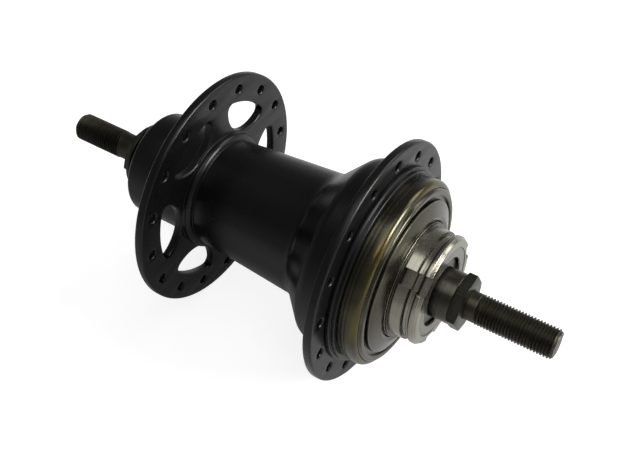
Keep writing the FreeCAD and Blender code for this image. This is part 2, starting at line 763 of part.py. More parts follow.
# Drive ring: roller track, ball track and seat of the right dust cap in one hardened ring
cap_seat = dim.ring_face - dim.cap_seat_depth
ring_bead_place = dim.collar_face + dim.ring_bead_offset
ring_track_left = dim.right_ball_place - dim.right_ball_radius * 0.8
drive_ring = turned_body("drive_ring", [
    (dim.ring_left, dim.ring_bore_radius),
    (dim.ring_left, dim.ring_body_radius),
    (dim.collar_face, dim.ring_body_radius),
    (dim.collar_face, dim.ring_head_radius - dim.ring_bead_height),
    (ring_bead_place, dim.ring_head_radius - dim.ring_bead_height),
    (ring_bead_place, dim.ring_head_radius),
    (dim.ring_face - dim.ring_face_chamfer, dim.ring_head_radius),
    (dim.ring_face, dim.ring_head_radius - dim.ring_face_chamfer),
    (dim.ring_face, dim.cap_seat_radius),
    (cap_seat, dim.cap_seat_radius),
    (cap_seat, dim.ball_bore_radius),
    (dim.right_ball_place, dim.ball_bore_radius),
    (ring_track_left, dim.ring_bore_radius + dim.ring_track_step),
    (ring_track_left, dim.ring_bore_radius),
])
cut_race(drive_ring, "right_outer_race", dim.right_ball_place, dim.right_pitch_radius, dim.right_ball_radius)
nodes.append(drive_ring)

# Right dust cap: a pressed steel cover with a raised bead, a groove and a crowned face
cap_bore_radius = dim.driver_collar_radius + dim.cap_bore_gap
cap_groove_radius = dim.cap_seat_radius - dim.cap_bead_width
groove_inner = cap_groove_radius - dim.cap_groove_width
groove_floor = dim.ring_face + dim.cap_floor_thickness
plate_front = dim.cap_bead_face + dim.cap_plate_step
plate_crown = plate_front + dim.cap_crown
right_dust_cap = turned_body("right_dust_cap", [
    (cap_seat, dim.cap_seat_radius - dim.cap_rim_thickness),
    (cap_seat, dim.cap_seat_radius),
    (dim.ring_face - dim.cap_bead_slant * 0.6, dim.cap_seat_radius),
    (dim.cap_bead_face, dim.cap_seat_radius - dim.cap_bead_slant, dim.cap_round),
    (dim.cap_bead_face, cap_groove_radius, dim.cap_round),
    (groove_floor, cap_groove_radius),
    (groove_floor, groove_inner),
    (plate_front, groove_inner, dim.cap_round),
    (plate_crown, cap_bore_radius + dim.cap_crown_width, dim.cap_round),
    (plate_crown - dim.cap_edge_fall, cap_bore_radius),
    (plate_crown - dim.cap_edge_fall - dim.cap_thickness, cap_bore_radius),
    (dim.ring_face, groove_inner - dim.cap_rim_thickness),
    (dim.ring_face, dim.cap_seat_radius - dim.cap_rim_thickness),
])
nodes.append(right_dust_cap)

# Driver: carries the sprocket outside and the roller ramps inside
snap_floor_radius = dim.sprocket_seat_radius - dim.snap_groove_depth
race_shoulder = dim.right_ball_place + dim.right_ball_radius * 0.55
race_shoulder_radius = dim.right_pitch_radius - dim.driver_race_depth
driver_web_left = dim.right_ball_place - dim.driver_web_offset
driver_cap_face = dim.driver_face - dim.driver_cap_inset
driver_cap_seat = driver_cap_face - dim.cap_thickness
driver_bearing_floor = dim.driver_ball_place - dim.driver_ball_radius
driver = turned_body("driver", [
    (dim.ramp_left - dim.driver_nose_length, dim.driver_bore_radius),
    (dim.ramp_left - dim.driver_nose_length, dim.driver_nose_radius),
    (dim.ramp_left, dim.driver_nose_radius),
    (dim.ramp_left, dim.driver_cam_radius),
    (driver_web_left, dim.driver_cam_radius),
    (driver_web_left, dim.inner_race_radius),
    (race_shoulder, dim.inner_race_radius),
    (race_shoulder, race_shoulder_radius),
    (dim.driver_collar_place, race_shoulder_radius, dim.driver_collar_round),
    (dim.driver_collar_place + dim.driver_collar_slant, dim.driver_collar_radius, dim.driver_collar_round),
    (dim.sprocket_seat_left, dim.driver_collar_radius, dim.driver_collar_round),
    (dim.sprocket_seat_left, dim.sprocket_seat_radius),
    (dim.snap_groove_left, dim.sprocket_seat_radius),
    (dim.snap_groove_left, snap_floor_radius),
    (dim.snap_groove_right, snap_floor_radius),
    (dim.snap_groove_right, dim.sprocket_seat_radius),
    (dim.driver_face - dim.lip_chamfer, dim.sprocket_seat_radius),
    (dim.driver_face, dim.sprocket_seat_radius - dim.lip_chamfer),
    (dim.driver_face, dim.driver_cap_radius),
    (driver_cap_seat, dim.driver_cap_radius),
    (driver_cap_seat, dim.driver_cup_radius),
    (dim.driver_ball_place, dim.driver_cup_radius),
    (driver_bearing_floor, dim.driver_pitch_radius),
    (driver_bearing_floor, dim.driver_bore_radius),
])
cut_race(driver, "driver_outer_race", dim.driver_ball_place, dim.driver_pitch_radius, dim.driver_ball_radius)
cut_race(driver, "right_inner_race", dim.right_ball_place, dim.right_pitch_radius, dim.right_ball_radius)
ramp_distance = dim.ring_bore_radius - 2 * dim.roller_radius - dim.ramp_roller_room
ramp_length = dim.roller_length + 2 * dim.roller_end_gap
ramp = pocket(driver, "ramp", dim.ramp_left + ramp_length, ramp_length,
              lambda sketch: draw_rectangle(sketch, ramp_distance, dim.driver_cam_radius + CUT_ROOM,
                                            -dim.driver_cam_radius, dim.driver_cam_radius))
repeat_round(driver, ramp, "ramps", ROLLERS)


def draw_notch(sketch):
    """A square-bottomed notch, turned to the angle of the first notch."""
    floor = dim.sprocket_seat_radius - dim.notch_depth
    top = dim.sprocket_seat_radius + CUT_ROOM
    corners = [(floor, -0.5), (top, -0.5), (top, 0.5), (floor, 0.5)]
    points = []
    for radius, side in corners:
        across, up = across_at(radius, dim.notch_angle)
        shift_across, shift_up = across_at(dim.notch_width * side, dim.notch_angle + 90)
        points.append((across + shift_across, up + shift_up))
    draw_outline(sketch, points)


notch = pocket(driver, "notch", dim.driver_face, dim.driver_face - dim.sprocket_seat_left, draw_notch)
repeat_round(driver, notch, "notches", NOTCHES)
nodes.append(driver)

# Driver dust cap: a flat ring let into the driver's end
driver_cap_bore = dim.cone_shoulder_radius + dim.driver_cap_gap
driver_dust_cap = turned_body("driver_dust_cap", [
    (driver_cap_seat, driver_cap_bore),
    (driver_cap_seat, dim.driver_cap_radius),
    (driver_cap_face, dim.driver_cap_radius),
    (driver_cap_face, driver_cap_bore),
])
nodes.append(driver_dust_cap)

# Right cone: screwed on the axle, with the inner ball track of the driver's bearing
nose_radius = dim.driver_pitch_radius - dim.driver_ball_radius - dim.race_gap
cone_nose_left = dim.driver_ball_place - dim.cone_nose_length
cone_shoulder = dim.driver_ball_place + dim.driver_ball_radius + dim.race_gap
cone_shoulder_right = cone_shoulder + dim.cone_shoulder_height
right_cone = turned_body("right_cone", [
    (cone_nose_left, dim.thread_bore),
    (cone_nose_left, nose_radius),
    (dim.driver_ball_place + dim.cone_track_length, nose_radius),
    (cone_shoulder - dim.cone_shoulder_slant, dim.cone_shoulder_radius),
    (cone_shoulder_right, dim.cone_shoulder_radius, dim.cone_edge_round),
    (cone_shoulder_right, dim.cone_neck_radius),
    (dim.right_nut_place, dim.cone_neck_radius, dim.cone_edge_round),
    (dim.right_nut_place, dim.thread_bore),
])
cut_race(right_cone, "cone_race", dim.driver_ball_place, dim.driver_pitch_radius, dim.driver_ball_radius)
nodes.append(right_cone)


def locknut(name, place):
    """A hexagon nut; both ends are turned to a cone that trims the corners."""
    nut = new_body(name)
    pad(nut, name + "_hexagon", "XZ_Plane", place, dim.nut_height,
        lambda sketch: draw_hexagon(sketch, dim.nut_flats))
    beyond_corner = dim.nut_flats * (1 / math.sqrt(3)) + CUT_ROOM
    flat_radius = dim.nut_flats * 0.5
    slope_rise = (beyond_corner - flat_radius) * 0.5

    def trim(end, start, direction):
        groove_round(nut, name + end, lambda sketch: draw_outline(sketch, [
            (flat_radius, -as_size(start)),
            (beyond_corner, -as_size(start + direction * slope_rise)),
            (beyond_corner, -as_size(start)),
        ]))

    trim("_left_trim", place, 1)
    trim("_right_trim", place + dim.nut_height, -1)
    pocket(nut, name + "_bore", place + dim.nut_height, dim.nut_height,
           lambda sketch: draw_circle(sketch, 0, 0, dim.thread_bore))
    return nut


nodes.append(locknut("right_locknut", dim.right_nut_place))

# Anchor cone: carries the brake arm's seat, the left ball track and the fixed taper
anchor_shoulder = dim.left_ball_distance + dim.left_ball_radius * 0.75
anchor_track_right = -dim.left_ball_distance + dim.anchor_track_length
anchor_neck_radius = dim.left_nose_radius - dim.anchor_neck_step
anchor_taper_tip = -dim.shoe_left + dim.shoe_lip_length - dim.shoe_lip_overlap
anchor_taper_foot = anchor_taper_tip - dim.taper_length
anchor_cone = turned_body("anchor_cone", [
    (-dim.arm_seat_end, dim.thread_bore),
    (-dim.arm_seat_end, dim.arm_seat_radius),
    (-dim.anchor_collar_end, dim.arm_seat_radius),
    (-dim.anchor_collar_end, dim.anchor_collar_radius, dim.cone_edge_round),
    (-anchor_shoulder, dim.anchor_collar_radius),
    (-anchor_shoulder, dim.left_nose_radius),
    (anchor_track_right, dim.left_nose_radius),
    (anchor_track_right + dim.anchor_neck_slant, anchor_neck_radius),
    (anchor_taper_foot - dim.anchor_foot_slant, anchor_neck_radius),
    (anchor_taper_foot, dim.taper_foot_radius),
    (anchor_taper_tip, dim.taper_tip_radius),
    (anchor_taper_tip, dim.thread_bore),
])
cut_race(anchor_cone, "left_inner_race", -dim.left_ball_distance, dim.left_pitch_radius, dim.left_ball_radius)
arm_flat = pocket(anchor_cone, "arm_flat", -dim.anchor_collar_end, dim.arm_seat_length,
                  lambda sketch: draw_rectangle(sketch, dim.arm_seat_flats * 0.5,
                                                dim.arm_seat_radius + CUT_ROOM,
                                                -dim.arm_seat_radius, dim.arm_seat_radius))
repeat_round(anchor_cone, arm_flat, "arm_flats", 2)
key = pad(anchor_cone, "shoe_key", "XZ_Plane", anchor_taper_foot, dim.taper_length,
          lambda sketch: draw_rectangle(sketch, dim.taper_tip_radius * 0.85, dim.taper_foot_radius,
                                        dim.key_width * -0.5, dim.key_width * 0.5))
repeat_round(anchor_cone, key, "shoe_keys", SHOES)
nodes.append(anchor_cone)

# Left bearing cup: pressed in the boss
cup_throat_radius = dim.cup_bore_radius - dim.cup_throat_step
left_bearing_cup = turned_body("left_bearing_cup", [
    (-dim.cup_left, dim.cup_bore_radius),
    (-dim.cup_left, dim.cup_radius),
    (-dim.cup_right, dim.cup_radius),
    (-dim.cup_right, cup_throat_radius),
    (-dim.left_ball_distance + dim.left_ball_radius * 0.8, cup_throat_radius),
    (-dim.left_ball_distance, dim.cup_bore_radius),
])
cut_race(left_bearing_cup, "left_outer_race", -dim.left_ball_distance, dim.left_pitch_radius,
         dim.left_ball_radius)
nodes.append(left_bearing_cup)

# Left dust cap: a pressed cover whose skirt grips the boss
left_cap_bore = dim.anchor_collar_radius + dim.left_cap_bore_gap
left_dust_cap = turned_body("left_dust_cap", [
    (-dim.left_cap_left, left_cap_bore),
    (-dim.left_cap_left, dim.boss_radius, dim.left_cap_round),
    (-dim.left_cap_skirt, dim.boss_radius),
    (-dim.left_cap_skirt, skirt_seat_radius),
    (-dim.boss_end, skirt_seat_radius),
    (-dim.boss_end, left_cap_bore),
])
nodes.append(left_dust_cap)

# Left washer and locknut, which hold a brake arm on its seat
left_washer = turned_body("left_washer", [
    (-dim.washer_left, dim.thread_bore),
    (-dim.washer_left, dim.washer_radius),
    (-dim.arm_seat_end, dim.washer_radius),
    (-dim.arm_seat_end, dim.thread_bore),
])
nodes.append(left_washer)
nodes.append(locknut("left_locknut", -dim.left_nut_face))

# Balls of the three bearings
nodes.append(ring_of("left_balls", LEFT_BALLS, dim.left_pitch_radius, -dim.left_ball_distance,
                     ball_maker(dim.left_ball_radius)))
nodes.append(ring_of("right_balls", RIGHT_BALLS, dim.right_pitch_radius, dim.right_ball_place,
                     ball_maker(dim.right_ball_radius)))
nodes.append(ring_of("driver_balls", DRIVER_BALLS, dim.driver_pitch_radius, dim.driver_ball_place,
                     ball_maker(dim.driver_ball_radius)))

# Ball cages of pressed steel
nodes.append(ball_cage("left_ball_cage", LEFT_BALLS, -dim.left_ball_distance, -1, dim.left_ball_radius,
                       dim.left_pitch_radius - dim.cage_half_width * 0.8,
                       dim.left_pitch_radius + dim.cage_half_width))
nodes.append(ball_cage("right_ball_cage", RIGHT_BALLS, dim.right_ball_place, 1, dim.right_ball_radius,
                       dim.right_pitch_radius - dim.cage_half_width,
                       dim.right_pitch_radius + dim.cage_half_width))
nodes.append(ball_cage("driver_ball_cage", DRIVER_BALLS, dim.driver_ball_place, 1, dim.driver_ball_radius,
                       dim.cone_shoulder_radius + dim.driver_cage_gap,
                       dim.driver_pitch_radius + dim.cage_half_width * 1.5))

# Drive rollers on the driver's five ramps
roller_pitch = dim.ring_bore_radius - dim.roller_run_gap - dim.roller_radius


def make_roller(name):
    roller = doc.addObject("Part::Cylinder", name)
    bind(roller, "Radius", dim.roller_radius)
    bind(roller, "Height", dim.roller_length)
    roller.Placement.Rotation = FreeCAD.Rotation(FreeCAD.Vector(1, 0, 0), 90)
    return roller


nodes.append(ring_of("drive_rollers", ROLLERS, roller_pitch, dim.roller_left, make_roller))

# Roller cage: a toothed disc, fingers between the rollers and an end ring
cage_outer = dim.ring_bore_radius - dim.cage_gap
cage_inner = dim.driver_cam_radius + dim.cage_gap
cage_bore = dim.driver_nose_radius + dim.cage_bore_fit
cage_disc_right = dim.ramp_left - dim.roller_end_gap
cage_disc_left = cage_disc_right - dim.cage_disc_thickness
cage_end = dim.roller_cage_end
roller_cage = turned_body("roller_cage", [
    (cage_disc_left, cage_bore),
    (cage_disc_left, cage_outer - dim.cage_disc_slant),
    (cage_disc_left + dim.cage_disc_slant_length, cage_outer),
    (cage_end, cage_outer),
    (cage_end, cage_inner),
    (cage_disc_right, cage_inner),
    (cage_disc_right, cage_bore),
])
pocket_right = cage_end - dim.cage_ring_width
roller_pocket = pocket(roller_cage, "roller_pocket", pocket_right, pocket_right - cage_disc_right,
                       lambda sketch: draw_sector(sketch, cage_inner - CUT_ROOM, cage_outer + CUT_ROOM, 0.0,
                                                  360.0 / ROLLERS - dim.cage_finger_angle))
repeat_round(roller_cage, roller_pocket, "roller_pockets", ROLLERS)


def add_ratchet(body, name, face, direction):
    """Saw teeth on a round face; direction is 1 for teeth that point to the drive side."""
    root = face - direction * dim.ratchet_root
    apex = face + direction * dim.ratchet_height
    rise = as_size(direction) * dim.ratchet_half_width

    def draw(sketch):
        draw_outline(sketch, [
            (-as_size(root), -rise),
            (-as_size(root), rise),
            (-as_size(apex), rise),
            (-as_size(apex), rise - direction * dim.ratchet_tip),
        ])
    tooth = pad(body, name, "YZ_Plane", dim.ratchet_inner_radius, dim.ratchet_tooth_depth, draw)
    repeat_round(body, tooth, name + "_teeth", RATCHET_TEETH)


add_ratchet(roller_cage, "cage_ratchet", cage_disc_left, -1)
nodes.append(roller_cage)

# Brake cone: slides along the axle and spreads the shoes
cone_taper_tip = dim.shoe_right - dim.shoe_lip_length + dim.shoe_lip_overlap
cone_taper_foot = cone_taper_tip + dim.taper_length
cone_face = cage_disc_left - dim.ratchet_height * 2 - dim.ratchet_gap
brake_bore = dim.axle_radius + dim.brake_cone_bore_fit
brake_flange_radius = dim.ratchet_inner_radius + dim.ratchet_tooth_depth + dim.brake_cone_flange_rim
brake_flange_left = cone_face - dim.brake_cone_flange_length
spring_place = cone_taper_foot + dim.spring_offset
spring_groove_left = spring_place - dim.spring_groove_width * 0.5
spring_groove_right = spring_place + dim.spring_groove_width * 0.5
spring_groove_radius = dim.taper_foot_radius - dim.spring_groove_depth
brake_cone = turned_body("brake_cone", [
    (cone_taper_tip, brake_bore),
    (cone_taper_tip, dim.taper_tip_radius),
    (cone_taper_foot, dim.taper_foot_radius),
    (spring_groove_left, dim.taper_foot_radius),
    (spring_groove_left, spring_groove_radius),
    (spring_groove_right, spring_groove_radius),
    (spring_groove_right, dim.taper_foot_radius),
    (brake_flange_left, dim.taper_foot_radius, dim.brake_cone_foot_round),
    (brake_flange_left + dim.brake_cone_flange_slant, brake_flange_radius),
    (cone_face, brake_flange_radius),
    (cone_face, brake_bore),
])
add_ratchet(brake_cone, "brake_ratchet", cone_face, 1)
nodes.append(brake_cone)

# Drag spring: a wire ring in the brake cone's groove with a tail between two shoes
spring_pitch = spring_groove_radius + dim.spring_wire_radius + dim.spring_seat_gap
spring_tail_pitch = dim.taper_foot_radius + dim.spring_wire_radius + dim.spring_tail_gap
drag_spring = new_body("drag_spring")
spring_sketch = new_sketch(drag_spring, "drag_spring_wire", "XY_Plane")
draw_circle(spring_sketch, spring_pitch, -spring_place, dim.spring_wire_radius)
spring_ring = drag_spring.newObject("PartDesign::Revolution", "drag_spring_ring")
spring_ring.Profile = spring_sketch
spring_ring.ReferenceAxis = (spring_sketch, ["V_Axis"])
spring_ring.Angle = 360
doc.recompute()
pad(drag_spring, "drag_spring_tail", "XZ_Plane", spring_place - dim.spring_tail_length, dim.spring_tail_length,
    lambda sketch: draw_circle(sketch, spring_tail_pitch, 0, dim.spring_wire_radius))
nodes.append(drag_spring)

# Brake shoes: four quarters of one turned sleeve, with a taper inside each end
shoe_radius = dim.liner_bore_radius - dim.shoe_rest_gap
shoe_hollow_radius = dim.taper_foot_radius + dim.shoe_hollow_gap
lip_inner = dim.taper_tip_radius + dim.taper_gap - dim.taper_slope * dim.shoe_lip_overlap
lip_outer = lip_inner + dim.taper_slope * dim.shoe_lip_length
shoe_length = dim.shoe_left + dim.shoe_right
shoe_profile = [
    (-dim.shoe_left, lip_outer),
    (-dim.shoe_left, shoe_radius, dim.shoe_edge_round),
]
for number in range(1, SHOE_GROOVES + 1):
    middle = shoe_length * (number / (SHOE_GROOVES + 1)) - dim.shoe_left
    left = middle - dim.shoe_groove_width * 0.5
    right = middle + dim.shoe_groove_width * 0.5
    shoe_profile += [
        (left, shoe_radius),
        (left, shoe_radius - dim.shoe_groove_depth),
        (right, shoe_radius - dim.shoe_groove_depth),
        (right, shoe_radius),
    ]
shoe_profile += [
    (dim.shoe_right, shoe_radius, dim.shoe_edge_round),
    (dim.shoe_right, lip_outer),
    (dim.shoe_right - dim.shoe_lip_length, lip_inner),
    (dim.shoe_right - dim.shoe_lip_length, shoe_hollow_radius),
    (-dim.shoe_left + dim.shoe_lip_length, shoe_hollow_radius),
    (-dim.shoe_left + dim.shoe_lip_length, lip_inner),
]
for number in range(SHOES):
    name = f"brake_shoe_{number + 1}"
    sleeve = turned_body(name + "_sleeve", shoe_profile)
    block = doc.addObject("Part::Box", name + "_block")
    bind(block, "Length", shoe_radius + CUT_ROOM)
    bind(block, "Height", shoe_radius + CUT_ROOM)
    bind(block, "Width", shoe_length + 2 * CUT_ROOM)
    quarter = FreeCAD.Rotation(FreeCAD.Vector(0, 1, 0), -90.0 * number)
    half_slot = dim.shoe_slot * 0.5
    turned_corner = quarter.multVec(FreeCAD.Vector(1, 0, 1))
    block.Placement.Rotation = quarter
    bind(block, "Placement.Base.x", half_slot * round(turned_corner.x))
    bind(block, "Placement.Base.z", half_slot * round(turned_corner.z))
    bind(block, "Placement.Base.y", -dim.shoe_right - CUT_ROOM)
    shoe = doc.addObject("Part::Common", name + "_quarter")
    shoe.Base = sleeve
    shoe.Tool = block
    shoe.Label = name
    doc.recompute()
    nodes.append(shoe)

doc.recompute()
for item in doc.Objects:
    if "Invalid" in item.State or "Error" in item.State:
        raise RuntimeError(item.Name + " failed: " + str(item.State))
    if hasattr(item, "Shape") and not item.Shape.isNull() and not item.Shape.isValid():
        raise RuntimeError(item.Name + " is not a valid shape")

os.makedirs("parts", exist_ok=True)
for node in nodes:
    shape = node.Shape
    if shape.isNull() or not shape.isValid() or not shape.Solids:
        raise RuntimeError(node.Label + " has no valid solid")
    shape.exportStep(f"parts/{node.Label}.step")
    print(f"{node.Label}: {len(shape.Solids)} solid(s), {shape.Volume:.1f} mm3, {len(shape.Faces)} faces")
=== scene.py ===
import math

import bmesh
import bpy
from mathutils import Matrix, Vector


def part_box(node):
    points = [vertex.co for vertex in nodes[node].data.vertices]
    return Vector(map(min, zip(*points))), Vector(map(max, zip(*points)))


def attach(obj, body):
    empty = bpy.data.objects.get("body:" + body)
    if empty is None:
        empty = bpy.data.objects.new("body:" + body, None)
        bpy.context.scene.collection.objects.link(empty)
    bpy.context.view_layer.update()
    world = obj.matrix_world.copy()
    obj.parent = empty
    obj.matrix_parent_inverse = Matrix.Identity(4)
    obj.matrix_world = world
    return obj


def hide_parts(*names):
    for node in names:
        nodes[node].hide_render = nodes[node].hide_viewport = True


# Looks of a bicycle's rear coaster brake hub, from the axle outwards.
# The axle lies along Y and the sprocket's side is -Y.
# A place is a distance in mm from the middle of the axle, positive towards the sprocket.
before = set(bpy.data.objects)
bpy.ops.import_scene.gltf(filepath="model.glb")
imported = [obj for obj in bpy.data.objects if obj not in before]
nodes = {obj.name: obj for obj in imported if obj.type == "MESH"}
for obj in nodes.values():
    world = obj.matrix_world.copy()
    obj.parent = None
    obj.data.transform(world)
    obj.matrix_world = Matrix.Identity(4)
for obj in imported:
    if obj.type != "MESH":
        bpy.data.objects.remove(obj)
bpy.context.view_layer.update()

# Axle: a 3/8 inch steel rod with a rolled thread of 26 to the inch, blacked in hot oil.
# The thread is real geometry and runs out in a plain band beside each locknut.
# Every other turned piece is drawn by the same hand: a profile, spun about the axle.
AXLE_RADIUS = 4.75
AXLE_CHAMFER = 0.8
THREAD_PITCH = 25.4 / 26
THREAD_DEPTH = 0.56
THREAD_LANDS = (0.2, 0.52, 0.68)
THREAD_STEPS = 40
BAND_RADIUS = 4.55
LEFT_BAND = 6.5
RIGHT_BAND = 2.9
THREAD_RUN_OUT = 1.0
BLACK_OXIDE = "#22211C"
BLACK_OXIDE_WORN = "#504D42"
MARKS_PER_MM = 2.4
PATCHES_PER_MM = 0.11
SPECKS_PER_MM = 1.6
SMALLEST = 0.001


def mm(value):
    return value * 0.001


def place_of(point):
    """Distance from the middle of the axle towards the sprocket, in mm."""
    return -point.y * 1000


def radius_of(point):
    """Distance from the axle's centre line, in mm."""
    return math.hypot(point.x, point.z) * 1000


def ends(name):
    """The places of a frame node's left and right ends."""
    low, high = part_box(name)
    return place_of(high), place_of(low)


def linear(code):
    """Turns an sRGB hex colour into the linear colour that shaders take."""
    parts = [int(code[start:start + 2], 16) / 255 for start in (1, 3, 5)]
    return tuple(c / 12.92 if c <= 0.04045 else ((c + 0.055) / 1.055) ** 2.4 for c in parts) + (1.0,)


def add_node(material, kind, inputs=(), **settings):
    """Adds a node with its settings; each input is a socket and its value or its source."""
    tree = material.node_tree
    made = tree.nodes.new(kind)
    for name, value in settings.items():
        setattr(made, name, value)
    for socket, value in inputs:
        if isinstance(value, bpy.types.NodeSocket):
            tree.links.new(value, made.inputs[socket])
        else:
            made.inputs[socket].default_value = value
    return made


def new_material(name):
    material = bpy.data.materials.new(name)
    material.use_nodes = True
    material.node_tree.nodes.clear()
    return material


def lathe_room(material):
    """Room for patterns, in mm: one as the piece stands, and one of radius and place alone,
    in which a pattern runs round the axle as the marks of a lathe tool do."""
    point = add_node(material, "ShaderNodeTexCoord").outputs["Object"]
    in_mm = add_node(material, "ShaderNodeVectorMath", [(0, point), (3, 1000.0)], operation="SCALE")
    apart = add_node(material, "ShaderNodeSeparateXYZ", [(0, in_mm.outputs[0])])
    flat = add_node(material, "ShaderNodeVectorMath", [(0, in_mm.outputs[0]), (1, (1.0, 0.0, 1.0))],
                    operation="MULTIPLY")
    radius = add_node(material, "ShaderNodeVectorMath", [(0, flat.outputs[0])], operation="LENGTH")
    rings = add_node(material, "ShaderNodeCombineXYZ", [(0, radius.outputs["Value"]), (1, apart.outputs[1])])
    return in_mm.outputs[0], rings.outputs[0]


def turned_metal(name, colour, worn, roughness, line_depth=0.004, stain=0.35):
    """Turned steel. Feed marks of about 0.1 mm are drawn 0.4 mm wide, which is as fine as shows.
    Handling leaves soft darker and lighter patches of about 9 mm, specks of 0.6 mm vary the gloss,
    and the marks spread the highlights into rings."""
    material = new_material(name)
    room, rings = lathe_room(material)
    marks = add_node(material, "ShaderNodeTexNoise", [("Vector", rings), ("Scale", MARKS_PER_MM),
                                                      ("Detail", 3.0)])
    patches = add_node(material, "ShaderNodeTexNoise", [("Vector", room), ("Scale", PATCHES_PER_MM),
                                                        ("Detail", 4.0)])
    specks = add_node(material, "ShaderNodeTexNoise", [("Vector", room), ("Scale", SPECKS_PER_MM),
                                                       ("Detail", 2.0)])
    mixed = add_node(material, "ShaderNodeMath", [(0, patches.outputs["Fac"]), (1, stain)],
                     operation="MULTIPLY")
    lines = add_node(material, "ShaderNodeMath", [
        (0, marks.outputs["Fac"]), (1, 0.45), (2, mixed.outputs[0])], operation="MULTIPLY_ADD")
    shade = add_node(material, "ShaderNodeMapRange", [(0, lines.outputs[0]), (1, 0.2), (2, 0.62)])
    tone = add_node(material, "ShaderNodeMix", [("Factor", shade.outputs[0]), (6, linear(colour)),
                                                (7, linear(worn))], data_type="RGBA")
    gloss = add_node(material, "ShaderNodeMapRange", [(0, specks.outputs["Fac"]), (1, 0.3), (2, 0.7),
                                                      (3, roughness - 0.03), (4, roughness + 0.04)])
    height = add_node(material, "ShaderNodeBump", [("Height", marks.outputs["Fac"]), ("Strength", 0.12),
                                                   ("Distance", mm(line_depth))])
    shader = add_node(material, "ShaderNodeBsdfPrincipled", [
        ("Base Color", tone.outputs[2]), ("Roughness", gloss.outputs[0]), ("Metallic", 1.0),
        ("Normal", height.outputs[0])])
    add_node(material, "ShaderNodeOutputMaterial", [("Surface", shader.outputs[0])])
    return material


def finish(piece, body, slot, material, *replaced, smooth=32.0):
    """Smooths a finished piece, gives it its material and hands it to the frame."""
    bpy.ops.object.select_all(action="DESELECT")
    piece.select_set(True)
    bpy.context.view_layer.objects.active = piece
    bpy.ops.object.transform_apply(location=True, rotation=True, scale=True)
    bpy.ops.object.shade_smooth_by_angle(angle=math.radians(smooth))
    piece.data.materials.clear()
    piece.data.materials.append(material)
    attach(piece, body)
    if replaced:
        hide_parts(*replaced)
    return piece


def start_profile(name, spots):
    """Leaves a chain of points in edit mode, extruded one after the other."""
    bpy.ops.object.select_all(action="DESELECT")
    bpy.ops.mesh.primitive_plane_add(size=mm(1))
    piece = bpy.context.object
    piece.name = name
    piece.data.name = name
    bpy.ops.object.mode_set(mode="EDIT")
    bpy.ops.mesh.merge(type="CENTER")
    bpy.ops.transform.translate(value=spots[0])
    for start, end in zip(spots, spots[1:]):
        bpy.ops.mesh.extrude_region_move(TRANSFORM_OT_translate={"value": end - start})
    return piece


def select_points(piece, wanted):
    """Selects the points of the mesh in edit mode that pass a test."""
    mesh = bmesh.from_edit_mesh(piece.data)
    for part in (*mesh.faces, *mesh.edges):
        part.select = False
    for vertex in mesh.verts:
        vertex.select = wanted(vertex)
    mesh.select_flush_mode()
    bmesh.update_edit_mesh(piece.data)


def close_mesh():
    bpy.ops.mesh.select_all(action="SELECT")
    bpy.ops.mesh.remove_doubles(threshold=mm(SMALLEST))
    bpy.ops.mesh.normals_make_consistent(inside=False)
    bpy.ops.object.mode_set(mode="OBJECT")


def turned(name, profile, steps=192, segments=5):
    """Turns a closed profile of (place, radius) or (place, radius, round) points about the axle."""
    spots = [Vector((mm(point[1]), mm(-point[0]), 0)) for point in profile]
    piece = start_profile(name, spots)
    last = len(spots) - 1
    select_points(piece, lambda vertex: vertex.index in (0, last))
    bpy.ops.mesh.edge_face_add()
    for number, point in enumerate(profile):
        if len(point) < 3:
            continue
        corner = spots[number]
        to_before = spots[number - 1] - corner
        to_after = spots[(number + 1) % len(spots)] - corner
        reach = mm(point[2]) / math.tan(to_before.angle(to_after) / 2)
        select_points(piece, lambda vertex: (vertex.co - corner).length < mm(SMALLEST) / 10)
        bpy.ops.mesh.bevel(offset=reach, segments=segments, affect="VERTICES")
    bpy.ops.mesh.select_all(action="SELECT")
    bpy.ops.mesh.spin(steps=steps, angle=2 * math.pi, center=(0, 0, 0), axis=(0, 1, 0))
    close_mesh()
    return piece


def threaded_rod(name, half_length, surface):
    """A screw thread over the whole rod, cut square at both ends; surface gives the radius at each point."""
    root = AXLE_RADIUS - THREAD_DEPTH
    root_end, crest_start, crest_end = THREAD_LANDS
    form = [(0.0, root), (root_end, root), (crest_start, AXLE_RADIUS), (crest_end, AXLE_RADIUS), (1.0, root)]
    start = -half_length - 1.5 * THREAD_PITCH
    spots = [Vector((mm(radius), mm(start + share * THREAD_PITCH), 0)) for share, radius in form]
    rod = start_profile(name, spots)
    bpy.ops.object.mode_set(mode="OBJECT")
    screw = rod.modifiers.new("thread", "SCREW")
    screw.axis = "Y"
    screw.screw_offset = mm(THREAD_PITCH)
    screw.iterations = math.ceil(2 * half_length / THREAD_PITCH) + 3
    screw.steps = THREAD_STEPS
    screw.render_steps = THREAD_STEPS
    bpy.ops.object.modifier_apply(modifier=screw.name)
    for vertex in rod.data.vertices:
        radius = radius_of(vertex.co)
        share = surface(place_of(vertex.co), radius) / radius
        vertex.co.x *= share
        vertex.co.z *= share
    bpy.ops.object.mode_set(mode="EDIT")
    bpy.ops.mesh.select_all(action="SELECT")
    bpy.ops.mesh.remove_doubles(threshold=mm(SMALLEST) / 2)
    for side in (-1, 1):
        bpy.ops.mesh.select_all(action="SELECT")
        bpy.ops.mesh.bisect(plane_co=(0, mm(side * half_length), 0), plane_no=(0, side, 0),
                            use_fill=True, clear_outer=True)
    close_mesh()
    return rod


axle_end = ends("axle")[1]
left_nut_left, left_nut_right = ends("left_locknut")
right_nut_left, right_nut_right = ends("right_locknut")


